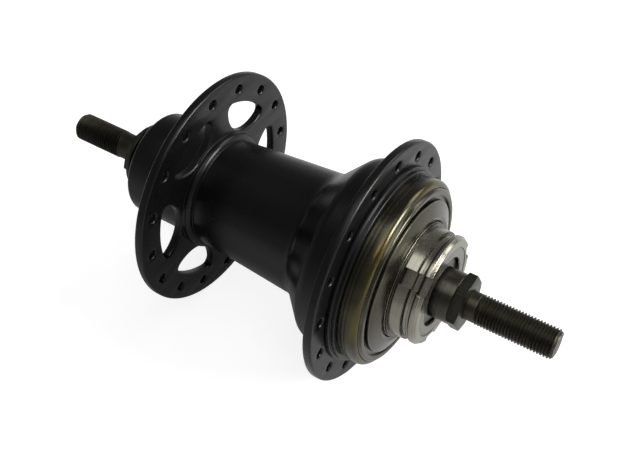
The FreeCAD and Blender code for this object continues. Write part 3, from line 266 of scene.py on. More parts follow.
def axle_surface(place, radius):
    """Flattens the thread beside the nuts and inside the hub, and narrows it to the chamfered ends."""
    plain_end = right_nut_right + RIGHT_BAND if place > 0 else LEFT_BAND - left_nut_left
    share = min(max((abs(place) - plain_end) / THREAD_RUN_OUT, 0.0), 1.0)
    radius = BAND_RADIUS + (radius - BAND_RADIUS) * share
    return min(radius, AXLE_RADIUS - AXLE_CHAMFER + max(axle_end - abs(place), 0.0))


axle = threaded_rod("axle_threaded", axle_end, axle_surface)
# Hot blacking: a thin brown-black coat of low gloss, with greyer steel showing through in patches.
black_oxide = turned_metal("blacked_steel", BLACK_OXIDE, BLACK_OXIDE_WORN, 0.4)
finish(axle, "axle_group", "black_oxide_steel", black_oxide, "axle", smooth=24.0)

# Anchor cone: the fixed left cone, turned from bar and blacked.
# Outside the hub it has the two flats that the brake arm's hole fits over, and inside a ball
# track and the taper that spreads the left ends of the brake shoes.
THREAD_BORE = 4.77
ANCHOR_COLLAR = 10.4
ANCHOR_NECK = 8.2
LEFT_BALL_PLACE = -47.5
LEFT_BALL_RADIUS = 2.381
LEFT_PITCH_RADIUS = 11.7
LEFT_NOSE_END = -44.1
RACE_GAP = 0.05
ARM_FLATS = 13.0
FLAT_REACH = 12.0
ARM_SEAT_RADIUS = 8.3
ARM_SEAT_LENGTH = 3.5
TAPER_LEFT = -29.0
TAPER_LENGTH = 7.0
TAPER_RISE = 1.5
TAPER_FOOT = 9.198
TAPER_TIP = 7.0
CUT_ROOM = 1.0
# Where the ball track meets the collar, as shares of the track's radius.
TRACK_EDGE_ALONG = 0.73
TRACK_EDGE_INWARDS = 0.68


def track(ball_radius):
    return ball_radius + RACE_GAP


def combine(piece, tool, operation):
    """Cuts, joins or trims a piece with another solid, which is used up."""
    bpy.ops.object.select_all(action="DESELECT")
    bpy.context.view_layer.objects.active = piece
    change = piece.modifiers.new("change", "BOOLEAN")
    change.operation = operation
    change.solver = "EXACT"
    change.object = tool
    bpy.ops.object.modifier_apply(modifier=change.name)
    bpy.data.objects.remove(tool)


def turn_round(tool, turn_degrees):
    """Turns a cutter about the axle and leaves its place in its mesh."""
    bpy.ops.object.transform_apply(location=True, rotation=True, scale=True)
    tool.rotation_euler.y = -math.radians(turn_degrees)
    bpy.ops.object.transform_apply(location=True, rotation=True, scale=True)
    return tool


def block(low, high, turn_degrees=0.0):
    """A box between two corners of (outwards, place, sideways) in mm, then turned about the axle."""
    bpy.ops.object.select_all(action="DESELECT")
    middle = [(a + b) / 2 for a, b in zip(low, high)]
    size = [mm(abs(b - a)) for a, b in zip(low, high)]
    spot = (mm(middle[0]), mm(-middle[1]), mm(middle[2]))
    bpy.ops.mesh.primitive_cube_add(size=1.0, location=spot, scale=size)
    return turn_round(bpy.context.object, turn_degrees)


arm_seat_end = ends("anchor_cone")[0]
collar_end = arm_seat_end + ARM_SEAT_LENGTH
left_track = track(LEFT_BALL_RADIUS)
left_nose = LEFT_PITCH_RADIUS - left_track
anchor_cone = turned("anchor_cone_blacked", [
    (arm_seat_end, THREAD_BORE),
    (arm_seat_end, ARM_SEAT_RADIUS, 0.3),
    (collar_end, ARM_SEAT_RADIUS, 0.3),
    (collar_end, ANCHOR_COLLAR, 0.4),
    (LEFT_BALL_PLACE - left_track * TRACK_EDGE_ALONG, ANCHOR_COLLAR),
    (LEFT_BALL_PLACE - left_track * TRACK_EDGE_ALONG, LEFT_PITCH_RADIUS - left_track * TRACK_EDGE_INWARDS),
    (LEFT_BALL_PLACE, left_nose),
    (LEFT_NOSE_END, left_nose),
    (LEFT_NOSE_END + 1, ANCHOR_NECK),
    (TAPER_LEFT - TAPER_RISE, ANCHOR_NECK),
    (TAPER_LEFT, TAPER_FOOT),
    (TAPER_LEFT + TAPER_LENGTH, TAPER_TIP),
    (TAPER_LEFT + TAPER_LENGTH, THREAD_BORE),
])
for turn in (0, 180):
    flat_cutter = block((ARM_FLATS / 2, collar_end, -FLAT_REACH),
                        (FLAT_REACH, arm_seat_end - CUT_ROOM, FLAT_REACH), turn)
    combine(anchor_cone, flat_cutter, "DIFFERENCE")
finish(anchor_cone, "axle_group", "black_oxide_steel", black_oxide, "anchor_cone")

# Hub shell: one light alloy casting, turned all over, drilled and anodised black.
# The barrel widens into the bell that holds the drive ring, the left flange has six windows,
# and each flange has sixteen spoke holes with broken edges.
FLANGE_RADIUS = 39.6
FLANGE_THICKNESS = 2.9
FLANGE_EDGE = 0.75
FLANGE_FOOT = 20.3
LEFT_FLANGE = -32.3
RIGHT_FLANGE = 31.2
SPOKE_CIRCLE = 34.9
SPOKE_HOLE = 1.45
SPOKE_HOLES = 16
WINDOWS = 6
WINDOW_START = 53.5
WINDOW_OUTER = 30.2
WINDOW_ROUND = 11.3
WINDOW_CENTRE = 31.7
WINDOW_CORNER = 2.0
BOSS_RADIUS = 17.5
BOSS_SEAT = 16.65
CAP_SKIRT_END = -44.5
CUP_SEAT = 15.0
CUP_RIGHT = -43.2
BOSS_BORE = 13.6
BARREL_BORE = 16.9
LINER_LEFT = -27.4
SHOULDER_RADIUS = 20.0
SHOULDER_WIDTH = 2.4
SHOULDER_EDGE = 1.75
BARREL_LEFT = 18.0
BARREL_RIGHT = 20.7
BARREL_END = 10.5
BELL_PLACE = 20.0
BELL_RADIUS = 30.4
COLLAR_RADIUS = 32.0
COLLAR_LOW = 31.3
COLLAR_LOW_PLACE = 32.5
RING_BODY = 27.6
RING_BORE = 24.6
RING_LEFT = 19.425
CONE_BORE_END = 17.225
BLACK_ANODISED = "#050505"
BLACK_WORN = "#0B0B0B"
GRAINS_PER_MM = 1.7
CLOUDS_PER_MM = 0.05
TOOL_LINES_PER_MM = 1.9


def black_alloy_material():
    """Aluminium turned, bead blasted and anodised black: a dark dyed oxide layer with a thin seal.
    It mirrors little face on and more at a flat angle, in a soft sheen that grains of 0.3 mm,
    drawn 0.6 mm wide, break up."""
    material = new_material("black_anodised_alloy")
    room, rings = lathe_room(material)
    grain = add_node(material, "ShaderNodeTexNoise", [("Vector", room), ("Scale", GRAINS_PER_MM),
                                                      ("Detail", 3.0)])
    clouds = add_node(material, "ShaderNodeTexNoise", [("Vector", room), ("Scale", CLOUDS_PER_MM),
                                                       ("Detail", 3.0)])
    marks = add_node(material, "ShaderNodeTexNoise", [("Vector", rings), ("Scale", TOOL_LINES_PER_MM),
                                                      ("Detail", 2.0)])
    tone = add_node(material, "ShaderNodeMix", [
        ("Factor", clouds.outputs["Fac"]), (6, linear(BLACK_ANODISED)), (7, linear(BLACK_WORN))],
                    data_type="RGBA")
    gloss = add_node(material, "ShaderNodeMapRange", [("Value", clouds.outputs["Fac"]), (1, 0.3), (2, 0.7),
                                                      (3, 0.24), (4, 0.31)])
    height = add_node(material, "ShaderNodeMath", [(0, marks.outputs["Fac"]), (1, 0.6),
                                                   (2, grain.outputs["Fac"])], operation="MULTIPLY_ADD")
    bump = add_node(material, "ShaderNodeBump", [("Height", height.outputs[0]), ("Strength", 0.2),
                                                 ("Distance", mm(0.005))])
    shader = add_node(material, "ShaderNodeBsdfPrincipled", [
        ("Base Color", tone.outputs[2]), ("Roughness", gloss.outputs[0]), ("Metallic", 0.0),
        ("IOR", 1.33), ("Normal", bump.outputs[0])])
    add_node(material, "ShaderNodeOutputMaterial", [("Surface", shader.outputs[0])])
    return material


def around(radius, angle):
    """A point at a radius in mm and an angle in degrees, in a flat drawing of a flange."""
    return (mm(radius * math.cos(math.radians(angle))), mm(radius * math.sin(math.radians(angle))), 0)


def add_circle(radius, centre=(0, 0, 0), points=32):
    bpy.ops.mesh.primitive_circle_add(vertices=points, radius=mm(radius), location=centre)
    bpy.ops.object.transform_apply(location=True)
    return bpy.context.object


def arc(centre, radius, first, last, steps):
    """Points along an arc, from one direction to another in degrees."""
    spots = []
    for number in range(steps + 1):
        spot = Vector(around(radius, first + (last - first) * number / steps))
        spots.append(Vector(centre) + spot)
    return spots


def add_window(middle):
    """One window's outline: a half-moon with its flat side along the rim and rounded corners.
    It is drawn larger by the rounded edge, which takes that much off the opening again."""
    outer = WINDOW_OUTER + FLANGE_EDGE
    bottom = WINDOW_ROUND + FLANGE_EDGE
    corner = WINDOW_CORNER + FLANGE_EDGE
    corner_place = outer - corner
    corner_reach = bottom - corner
    at_axle = math.degrees(math.acos((corner_place ** 2 + WINDOW_CENTRE ** 2 - corner_reach ** 2)
                                     / (2 * corner_place * WINDOW_CENTRE)))
    at_centre = math.degrees(math.acos((WINDOW_CENTRE ** 2 + corner_reach ** 2 - corner_place ** 2)
                                       / (2 * WINDOW_CENTRE * corner_reach)))
    spots = arc((0, 0, 0), outer, middle - at_axle, middle + at_axle, 16)
    spots += arc(around(corner_place, middle + at_axle), corner,
                 middle + at_axle, middle + 180 - at_centre, 8)[1:]
    spots += arc(around(WINDOW_CENTRE, middle), bottom,
                 middle + 180 - at_centre, middle + 180 + at_centre, 24)[1:]
    spots += arc(around(corner_place, middle - at_axle), corner,
                 middle + 180 + at_centre, middle + 360 - at_axle, 8)[1:-1]
    window = start_profile("window", spots)
    select_points(window, lambda vertex: vertex.index in (0, len(spots) - 1))
    bpy.ops.mesh.edge_face_add()
    bpy.ops.object.mode_set(mode="OBJECT")
    return window


def join(first, *others):
    bpy.ops.object.select_all(action="DESELECT")
    for piece in (first, *others):
        piece.select_set(True)
    bpy.context.view_layer.objects.active = first
    bpy.ops.object.join()
    return first


def flange_plate(name, right_face, bore, first_hole, windows=()):
    """A flat drawing of the flange, made solid with a rounded edge at its rim and every opening."""
    outlines = [add_circle(FLANGE_RADIUS - FLANGE_EDGE, points=192), add_circle(bore, points=96)]
    for number in range(SPOKE_HOLES):
        centre = around(SPOKE_CIRCLE, first_hole + number * 360 / SPOKE_HOLES)
        outlines.append(add_circle(SPOKE_HOLE + FLANGE_EDGE, centre, 28))
    outlines += [add_window(middle) for middle in windows]
    plate = join(*outlines)
    plate.name = name
    bpy.ops.object.convert(target="CURVE")
    plate.data.dimensions = "2D"
    plate.data.fill_mode = "BOTH"
    plate.data.bevel_depth = mm(FLANGE_EDGE)
    plate.data.bevel_resolution = 4
    plate.data.extrude = mm(FLANGE_THICKNESS / 2 - FLANGE_EDGE)
    bpy.ops.object.convert(target="MESH")
    plate = bpy.context.object
    plate.rotation_euler.x = math.pi / 2
    plate.location.y = -mm(right_face - FLANGE_THICKNESS / 2)
    bpy.ops.object.transform_apply(location=True, rotation=True)
    bpy.ops.object.mode_set(mode="EDIT")
    close_mesh()
    return plate


shell_left, shell_right = ends("hub_shell")
left_inner = LEFT_FLANGE + FLANGE_THICKNESS
right_inner = RIGHT_FLANGE - FLANGE_THICKNESS
hub_shell = turned("hub_shell_anodised", [
    (shell_left, CUP_SEAT),
    (shell_left, BOSS_SEAT),
    (CAP_SKIRT_END, BOSS_SEAT),
    (CAP_SKIRT_END, BOSS_RADIUS, 0.15),
    (LEFT_FLANGE, BOSS_RADIUS, 2.0),
    (LEFT_FLANGE, FLANGE_FOOT),
    (left_inner, FLANGE_FOOT),
    (left_inner, SHOULDER_RADIUS, 0.2),
    (left_inner + SHOULDER_WIDTH, SHOULDER_RADIUS, SHOULDER_EDGE),
    (left_inner + SHOULDER_WIDTH, BARREL_LEFT, 0.2),
    (BARREL_END, BARREL_RIGHT, 6.0),
    (BELL_PLACE, BELL_RADIUS, 4.0),
    (right_inner, BELL_RADIUS, 0.5),
    (right_inner, BELL_RADIUS + 1),
    (RIGHT_FLANGE, BELL_RADIUS + 1),
    (RIGHT_FLANGE, COLLAR_RADIUS, 0.3),
    (COLLAR_LOW_PLACE, COLLAR_RADIUS, 0.35),
    (COLLAR_LOW_PLACE, COLLAR_LOW, 0.2),
    (shell_right, COLLAR_LOW, 0.4),
    (shell_right, RING_BODY),
    (RING_LEFT, RING_BODY),
    (RING_LEFT, RING_BORE),
    (CONE_BORE_END, RING_BORE),
    (CONE_BORE_END - (RING_BORE - BARREL_BORE), BARREL_BORE),
    (LINER_LEFT, BARREL_BORE),
    (LINER_LEFT, BOSS_BORE),
    (CUP_RIGHT, BOSS_BORE),
    (CUP_RIGHT, CUP_SEAT),
], steps=256, segments=7)
window_angles = [WINDOW_START + number * 360 / WINDOWS for number in range(WINDOWS)]
left_plate = flange_plate("left_plate", left_inner, SHOULDER_RADIUS - 1, 0.0, window_angles)
right_plate = flange_plate("right_plate", RIGHT_FLANGE, BELL_RADIUS - 1, 180 / SPOKE_HOLES)
combine(hub_shell, left_plate, "UNION")
combine(hub_shell, right_plate, "UNION")
black_alloy = black_alloy_material()
finish(hub_shell, "hub", "black_alloy", black_alloy, "hub_shell")

# Left dust cap: deep drawn, blacked like the shell, pushed over the end of the left boss.
# Its outer edge is rolled over, and a fine seam shows where its skirt meets the shell.
CAP_GAP = 0.3
CAP_ROLL = 1.4
FIT_GAP = 0.02
SEAM = 0.06
cap_left, cap_right = ends("left_dust_cap")
cap_seat = BOSS_SEAT + FIT_GAP
left_dust_cap = turned("left_dust_cap_black", [
    (cap_left, ANCHOR_COLLAR + CAP_GAP, 0.2),
    (cap_left, BOSS_RADIUS, CAP_ROLL),
    (cap_right - SEAM, BOSS_RADIUS, 0.2),
    (cap_right - SEAM, cap_seat),
    (shell_left - FIT_GAP, cap_seat, 0.6),
    (shell_left - FIT_GAP, ANCHOR_COLLAR + CAP_GAP),
], steps=256)
finish(left_dust_cap, "hub", "black_alloy", black_alloy, "left_dust_cap")

# Left washer and both locknuts: thin steel nuts of 16 mm across flats, chamfered on a lathe at
# both ends, which leaves the curved edge where the cone runs across each flat.
NUT_FLATS = 16.0
NUT_CHAMFER_ANGLE = 15.0
NUT_EDGE = 0.15
NUT_REACH = 0.5
NUT_FACE_DROP = 0.1
WASHER_RADIUS = 11.4
NUT_STEEL = "#1F1F1B"
NUT_WORN = "#4D4C45"


def locknut(name, left_face, right_face):
    corner = NUT_FLATS / math.sqrt(3)
    bpy.ops.object.select_all(action="DESELECT")
    bpy.ops.mesh.primitive_cylinder_add(vertices=6, radius=mm(corner), depth=mm(right_face - left_face),
                                        location=(0, -mm((left_face + right_face) / 2), 0))
    nut = bpy.context.object
    nut.name = name
    nut.rotation_euler = (math.pi / 2, math.radians(30), 0)
    bpy.ops.object.transform_apply(location=True, rotation=True)
    bpy.ops.object.mode_set(mode="EDIT")
    bpy.ops.mesh.select_all(action="SELECT")
    bpy.ops.mesh.bevel(offset=mm(NUT_EDGE), segments=3)
    bpy.ops.object.mode_set(mode="OBJECT")
    reach = corner + NUT_REACH
    start = NUT_FLATS / 2 - NUT_FACE_DROP
    drop = (reach - start) * math.tan(math.radians(NUT_CHAMFER_ANGLE))
    envelope = turned("envelope", [
        (left_face - CUT_ROOM, THREAD_BORE),
        (left_face, start),
        (left_face + drop, reach),
        (right_face - drop, reach),
        (right_face, start),
        (right_face + CUT_ROOM, THREAD_BORE),
    ])
    combine(nut, envelope, "INTERSECT")
    return nut


# The same blacking as the axle's on a smoother surface, so it shines a little more.
nut_steel = turned_metal("blacked_nut_steel", NUT_STEEL, NUT_WORN, 0.36, line_depth=0.003)
right_locknut = locknut("right_locknut_blacked", right_nut_left, right_nut_right)
finish(right_locknut, "axle_group", "black_oxide_steel", nut_steel, "right_locknut")
left_locknut = locknut("left_locknut_blacked", left_nut_left, left_nut_right)
finish(left_locknut, "axle_group", "black_oxide_steel", nut_steel, "left_locknut")
washer_left, washer_right = ends("left_washer")
left_washer = turned("left_washer_blacked", [
    (washer_left, THREAD_BORE),
    (washer_left, WASHER_RADIUS, 0.25),
    (washer_right, WASHER_RADIUS, 0.2),
    (washer_right, THREAD_BORE),
])
finish(left_washer, "axle_group", "black_oxide_steel", nut_steel, "left_washer")

# Drive ring: case hardened steel, screwed in the bell, its outer face rounded over on a lathe.
# Hardening leaves a straw tint on the round shoulder, and oil darkens the rest.
RING_HEAD = 30.3
RING_LOW = 29.9
RING_MIDDLE = 30.1
RING_LINE = 34.9
HEAD_LINE = 36.3
SHOULDER_ROUND = 1.9
CAP_SEAT = 28.52
CAP_SEAT_DEPTH = 1.9
RIGHT_BALL_PLACE = 35.7
RIGHT_BALL_RADIUS = 3.175
RIGHT_PITCH_RADIUS = 24.2
CUP_ROUND = 0.98
RING_STEEL = "#28271F"
RING_WORN = "#4A483D"
STRAW = "#5C5331"
STRAW_START = -36.8
STRAW_FULL = -39.0


def tint(material, amount, code):
    """Lays a colour over the material's own one, as much as a node's output says."""
    tree = material.node_tree
    shader = [item for item in tree.nodes if item.type == "BSDF_PRINCIPLED"][0]
    tone = shader.inputs["Base Color"].links[0].from_socket
    tinted = add_node(material, "ShaderNodeMix", [("Factor", amount), (6, tone), (7, linear(code))],
                      data_type="RGBA")
    tree.links.new(tinted.outputs[2], shader.inputs["Base Color"])


def straw_steel():
    """Hardened steel with a straw temper tint on its shoulder; the tint comes and goes round the ring."""
    material = turned_metal("tempered_steel", RING_STEEL, RING_WORN, 0.24, stain=0.5)
    room, rings = lathe_room(material)
    apart = add_node(material, "ShaderNodeSeparateXYZ", [(0, rings)])
    reach = add_node(material, "ShaderNodeMapRange", [
        ("Value", apart.outputs[1]), (1, STRAW_START), (2, STRAW_FULL)], interpolation_type="SMOOTHSTEP")
    clouds = add_node(material, "ShaderNodeTexNoise", [("Vector", room), ("Scale", 0.07), ("Detail", 2.0)])
    amount = add_node(material, "ShaderNodeMapRange", [("Value", clouds.outputs["Fac"]), (1, 0.35), (2, 0.6)])
    factor = add_node(material, "ShaderNodeMath", [(0, reach.outputs[0]), (1, amount.outputs[0])],
                      operation="MULTIPLY")
    tint(material, factor.outputs[0], STRAW)
    return material


ring_left, ring_face = ends("drive_ring")
cap_floor = ring_face - CAP_SEAT_DEPTH
right_track = track(RIGHT_BALL_RADIUS)
ball_bore = RIGHT_PITCH_RADIUS + right_track
drive_ring = turned("drive_ring_hardened", [
    (ring_left, RING_BORE - 0.1),
    (ring_left, RING_BODY - FIT_GAP, 0.3),
    (shell_right + 0.05, RING_BODY - FIT_GAP),
    (shell_right + 0.05, RING_LOW, 0.15),
    (RING_LINE, RING_LOW, 0.05),
    (RING_LINE + 0.1, RING_LOW - 0.15),
    (RING_LINE + 0.25, RING_LOW - 0.15),
    (RING_LINE + 0.35, RING_MIDDLE, 0.08),
    (HEAD_LINE, RING_MIDDLE, 0.05),
    (HEAD_LINE + 0.1, RING_MIDDLE - 0.1),
    (HEAD_LINE + 0.2, RING_MIDDLE - 0.1),
    (HEAD_LINE + 0.3, RING_HEAD, 0.1),
    (ring_face, RING_HEAD, SHOULDER_ROUND),
    (ring_face, CAP_SEAT, 0.1),
    (cap_floor, CAP_SEAT),
    (cap_floor, ball_bore),
    (RIGHT_BALL_PLACE - right_track, ball_bore, right_track * CUP_ROUND),
    (RIGHT_BALL_PLACE - right_track, RING_BORE - 0.1),
], steps=256, segments=8)
finish(drive_ring, "hub", "hardened_steel", straw_steel(), "drive_ring")

# Right dust cap: pressed from sheet steel and pushed in the drive ring.
# A rolled bead, a thin dark groove, then a face that is drawn outwards to the driver.
CAP_STEEL = "#322F27"
CAP_WORN = "#605D51"
SKIRT_BORE = 27.54
CAP_BACK = 39.8
BEAD_FACE = 41.1
BEAD_RADIUS = 28.1
BEAD_INNER = 26.4
CAP_GROOVE_FLOOR = 40.2
CAP_GROOVE_OUTER = 26.2
CAP_GROOVE_INNER = 25.0
CROWN_FOOT = (41.4, 24.9, 0.2)
CROWN_MIDDLE = (42.3, 22.4, 6.0)
CROWN_TOP = (43.1, 20.3, 0.5)
CROWN_BORE = 19.1
CROWN_LIP = 42.9
CROWN_UNDERSIDE = 42.1
CROWN_BACK_FOOT = 24.6
right_dust_cap = turned("right_dust_cap_pressed", [
    (cap_floor + FIT_GAP, SKIRT_BORE),
    (cap_floor + FIT_GAP, CAP_SEAT - SEAM),
    (CAP_BACK, CAP_SEAT - SEAM, 0.3),
    (BEAD_FACE, BEAD_RADIUS, 0.6),
    (BEAD_FACE, BEAD_INNER, 0.5),
    (CAP_GROOVE_FLOOR, CAP_GROOVE_OUTER),
    (CAP_GROOVE_FLOOR, CAP_GROOVE_INNER),
    CROWN_FOOT,
    CROWN_MIDDLE,
    CROWN_TOP,
    (CROWN_LIP, CROWN_BORE, 0.2),
    (CROWN_UNDERSIDE, CROWN_BORE),
    (CAP_BACK, CROWN_BACK_FOOT),
    (CAP_BACK, SKIRT_BORE),
], steps=256, segments=6)
# Cold rolled sheet under oil: brown-grey and glossy, with fine rings in its highlights.
cap_steel = turned_metal("pressed_cap_steel", CAP_STEEL, CAP_WORN, 0.22, line_depth=0.002, stain=0.4)
finish(right_dust_cap, "hub", "hardened_steel", cap_steel, "right_dust_cap")

# Driver: a hardened steel piece that the chain's sprocket sits on.
# Outside it has a ridged collar, the sprocket's seat with three notches, the snap ring's groove
# and a lip; inside the hub it ends in a cam with five flats that the drive rollers climb.
DRIVER_STEEL = "#706D63"
DRIVER_WORN = "#A09D90"
# The colour of the painted shade in the corners of the driver's grooves.
CORNER_SHADE = "#15140F"
DRIVER_BORE = 5.35
NOSE_RADIUS = 7.6
CAM_LEFT = 20.425
CAM_RADIUS = 20.6
RAMP_RIGHT = 31.125
RAMP_DISTANCE = 17.2
WEB_RIGHT = 33.3
DRIVER_BODY = 22.5
COLLAR_PLACE = 39.9
DRIVER_COLLAR = 18.7
WIDE_LINE = 42.3
NARROW_LINE = 43.25
SEAT_RADIUS = 17.5
SEAT_LEFT = 43.9
GROOVE_LEFT = 47.8
GROOVE_RIGHT = 50.0
GROOVE_FLOOR = 16.5
FLOOR_LINE = 48.8
LIP_STEP = 51.3
LIP_FACE = 14.45
DRIVER_CAP_SEAT = 51.43
DRIVER_BALL_PLACE = 47.9
DRIVER_PITCH_RADIUS = 11.0
NOTCHES = 3
NOTCH_ANGLE = 130.5
NOTCH_WIDTH = 5.2
NOTCH_FLOOR = 15.3
NOTCH_TOP = 22.0
NOTCH_ROUND = 1.8
SCALLOP_RADIUS = 1.3
SCALLOP_LENGTH = 6.0
RAMPS = 5
RAMP_TOP = 24.0
RAMP_REACH = 14.0

driver_left, driver_face = ends("driver")
driver_track = left_track
driver_cup = DRIVER_PITCH_RADIUS + driver_track
inner_race = RIGHT_PITCH_RADIUS - right_track
driver = turned("driver_hardened", [
    (driver_left, DRIVER_BORE),
    (driver_left, NOSE_RADIUS, 0.3),
    (CAM_LEFT, NOSE_RADIUS),
    (CAM_LEFT, CAM_RADIUS, 0.2),
    (WEB_RIGHT, CAM_RADIUS),
    (WEB_RIGHT, inner_race),
    (RIGHT_BALL_PLACE + right_track, inner_race, 1.5),
    (RIGHT_BALL_PLACE + right_track, DRIVER_BODY, 0.2),
    (COLLAR_PLACE, DRIVER_BODY, 0.3),
    (COLLAR_PLACE + 0.4, DRIVER_COLLAR, 0.3),
    (WIDE_LINE, DRIVER_COLLAR, 0.1),
    (WIDE_LINE + 0.05, DRIVER_COLLAR - 0.35),
    (WIDE_LINE + 0.3, DRIVER_COLLAR - 0.35),
    (WIDE_LINE + 0.35, DRIVER_COLLAR, 0.1),
    (NARROW_LINE, DRIVER_COLLAR, 0.1),
    (NARROW_LINE + 0.05, DRIVER_COLLAR - 0.3),
    (NARROW_LINE + 0.25, DRIVER_COLLAR - 0.3),
    (NARROW_LINE + 0.3, DRIVER_COLLAR - 0.1, 0.08),
    (SEAT_LEFT, DRIVER_COLLAR - 0.1, 0.1),
    (SEAT_LEFT, SEAT_RADIUS, 0.12),
    (GROOVE_LEFT, SEAT_RADIUS, 0.12),
    (GROOVE_LEFT, GROOVE_FLOOR, 0.08),
    (FLOOR_LINE, GROOVE_FLOOR),
    (FLOOR_LINE + 0.05, GROOVE_FLOOR - 0.2),
    (FLOOR_LINE + 0.2, GROOVE_FLOOR - 0.2),
    (FLOOR_LINE + 0.25, GROOVE_FLOOR),
    (GROOVE_RIGHT, GROOVE_FLOOR, 0.08),
    (GROOVE_RIGHT, SEAT_RADIUS, 0.2),
    (LIP_STEP, SEAT_RADIUS, 0.15),
    (LIP_STEP + 0.1, SEAT_RADIUS - 0.25, 0.1),
    (driver_face, SEAT_RADIUS - 0.75, 0.25),
    (driver_face, LIP_FACE, 0.1),
    (DRIVER_CAP_SEAT, LIP_FACE),
    (DRIVER_CAP_SEAT, driver_cup),
    (DRIVER_BALL_PLACE - driver_track, driver_cup, driver_track * CUP_ROUND),
    (DRIVER_BALL_PLACE - driver_track, DRIVER_BORE),
], steps=256, segments=5)


def scallop(middle_place, sideways, turn_degrees):
    """A round cutter that stands on the notch's floor, at its lower wall."""
    bpy.ops.object.select_all(action="DESELECT")
    middle = NOTCH_FLOOR + SCALLOP_LENGTH / 2
    bpy.ops.mesh.primitive_cylinder_add(vertices=40, radius=mm(SCALLOP_RADIUS), depth=mm(SCALLOP_LENGTH),
                                        location=(mm(middle), -mm(middle_place), mm(sideways)),
                                        rotation=(0, math.pi / 2, 0))
    return turn_round(bpy.context.object, turn_degrees)


def notch_cutter(half_width, turn_degrees):
    """A block for one notch; a round milling cutter leaves its two floor corners rounded."""
    cutter = block((NOTCH_FLOOR, SEAT_LEFT, -half_width),
                   (NOTCH_TOP, driver_face + CUT_ROOM, half_width), turn_degrees)
    outwards = Vector((math.cos(math.radians(turn_degrees)), 0, math.sin(math.radians(turn_degrees))))
    bpy.ops.object.mode_set(mode="EDIT")
    mesh = bmesh.from_edit_mesh(cutter.data)
    for part in (*mesh.faces, *mesh.edges, *mesh.verts):
        part.select = False
    for edge in mesh.edges:
        first, second = (vertex.co for vertex in edge.verts)
        along = abs(first.y - second.y) > mm(1)
        edge.select = along and first.dot(outwards) < mm(NOTCH_FLOOR + 1)
    bmesh.update_edit_mesh(cutter.data)
    bpy.ops.mesh.bevel(offset=mm(NOTCH_ROUND), segments=8)
    bpy.ops.object.mode_set(mode="OBJECT")
    return cutter


def painted_corner_shade(material, corners):
    """Painted shade darkens the corners of the driver's grooves, each given by its place and its reach."""
    place = add_node(material, "ShaderNodeSeparateXYZ", [(0, lathe_room(material)[1])]).outputs[1]
    amount = 0.0
    for middle, reach in corners:
        away = add_node(material, "ShaderNodeMath", [(0, place), (1, middle)], operation="ADD")
        distance = add_node(material, "ShaderNodeMath", [(0, away.outputs[0])], operation="ABSOLUTE")
        near = add_node(material, "ShaderNodeMapRange", [("Value", distance.outputs[0]), (1, reach * 0.5),
                                                         (2, reach), (3, 0.9), (4, 0.0)])
        amount = add_node(material, "ShaderNodeMath", [(0, near.outputs[0]), (1, amount)],
                          operation="MAXIMUM").outputs[0]
    tint(material, amount, CORNER_SHADE)


for number in range(RAMPS):
    flat_cutter = block((RAMP_DISTANCE, CAM_LEFT - CUT_ROOM, -RAMP_REACH),
                        (RAMP_TOP, RAMP_RIGHT, RAMP_REACH), number * 360 / RAMPS)
    combine(driver, flat_cutter, "DIFFERENCE")
for number in range(NOTCHES):
    half = NOTCH_WIDTH / 2
    angle = NOTCH_ANGLE + number * 360 / NOTCHES
    combine(driver, notch_cutter(half, angle), "DIFFERENCE")
    combine(driver, scallop((GROOVE_RIGHT + driver_face) / 2, half, angle), "DIFFERENCE")
# Ground steel under a film of oil: pale grey, and glossy enough to mirror the studio.
driver_steel = turned_metal("ground_driver_steel", DRIVER_STEEL, DRIVER_WORN, 0.24,
                            line_depth=0.002, stain=0.4)
# Painted shade: the corners of the collar's lines, the seat's foot and the snap ring's groove are darkened in
# the colour.
painted_corner_shade(driver_steel, [(WIDE_LINE + 0.18, 0.14), (NARROW_LINE + 0.15, 0.14), (SEAT_LEFT, 0.2),
                           (GROOVE_LEFT, 0.3), (GROOVE_RIGHT - 0.1, 0.55)])
finish(driver, "driver", "hardened_steel", driver_steel, "driver")

# Driver dust cap: a flat ring of zinc plated steel that closes the driver bearing.
# It is pressed into a step in the driver's end, and its inner edge is rounded.
ZINC = "#77756D"
ZINC_WORN = "#95928A"
DRIVER_CAP_BORE = 11.2
DRIVER_CAP_FLAT = 13.6
DRIVER_CAP_PLAY = 0.07
DRIVER_CAP_DROP = 0.08
driver_cap_left, driver_cap_right = ends("driver_dust_cap")
driver_dust_cap = turned("driver_dust_cap_zinc", [
    (driver_cap_left, DRIVER_CAP_BORE, 0.2),
    (driver_cap_left, LIP_FACE - DRIVER_CAP_PLAY),
    (driver_cap_right - DRIVER_CAP_DROP, LIP_FACE - DRIVER_CAP_PLAY, 0.2),
    (driver_cap_right, DRIVER_CAP_FLAT, 0.5),
    (driver_cap_right, DRIVER_CAP_BORE, 0.35),
], steps=192)
# Zinc plate dulled by handling: pale grey, and softer in its shine than the driver.
zinc = turned_metal("zinc_plate", ZINC, ZINC_WORN, 0.34, line_depth=0.002, stain=0.25)
finish(driver_dust_cap, "driver", "zinc_steel", zinc, "driver_dust_cap")

# Right cone: turned steel, hardened and blacked, screwed on the axle under the right locknut.
# It has the driver bearing's inner track, and its smooth neck shows inside the driver.
CONE_STEEL = "#2E2D28"
CONE_WORN = "#55534A"
CONE_NOSE = 8.569
CONE_SHOULDER = 10.6
CONE_SHOULDER_RIGHT = 51.23
CONE_NECK = 8.0
cone_left, cone_right = ends("right_cone")
right_cone = turned("right_cone_blacked", [
    (cone_left, THREAD_BORE),
    (cone_left, CONE_NOSE, 0.3),
    (DRIVER_BALL_PLACE + driver_track, CONE_NOSE, 2.0),
    (DRIVER_BALL_PLACE + driver_track, CONE_SHOULDER, 0.15),
    (CONE_SHOULDER_RIGHT, CONE_SHOULDER, 0.3),
    (CONE_SHOULDER_RIGHT, CONE_NECK, 0.25),
    (cone_right, CONE_NECK, 0.35),
    (cone_right, THREAD_BORE),
], steps=160)
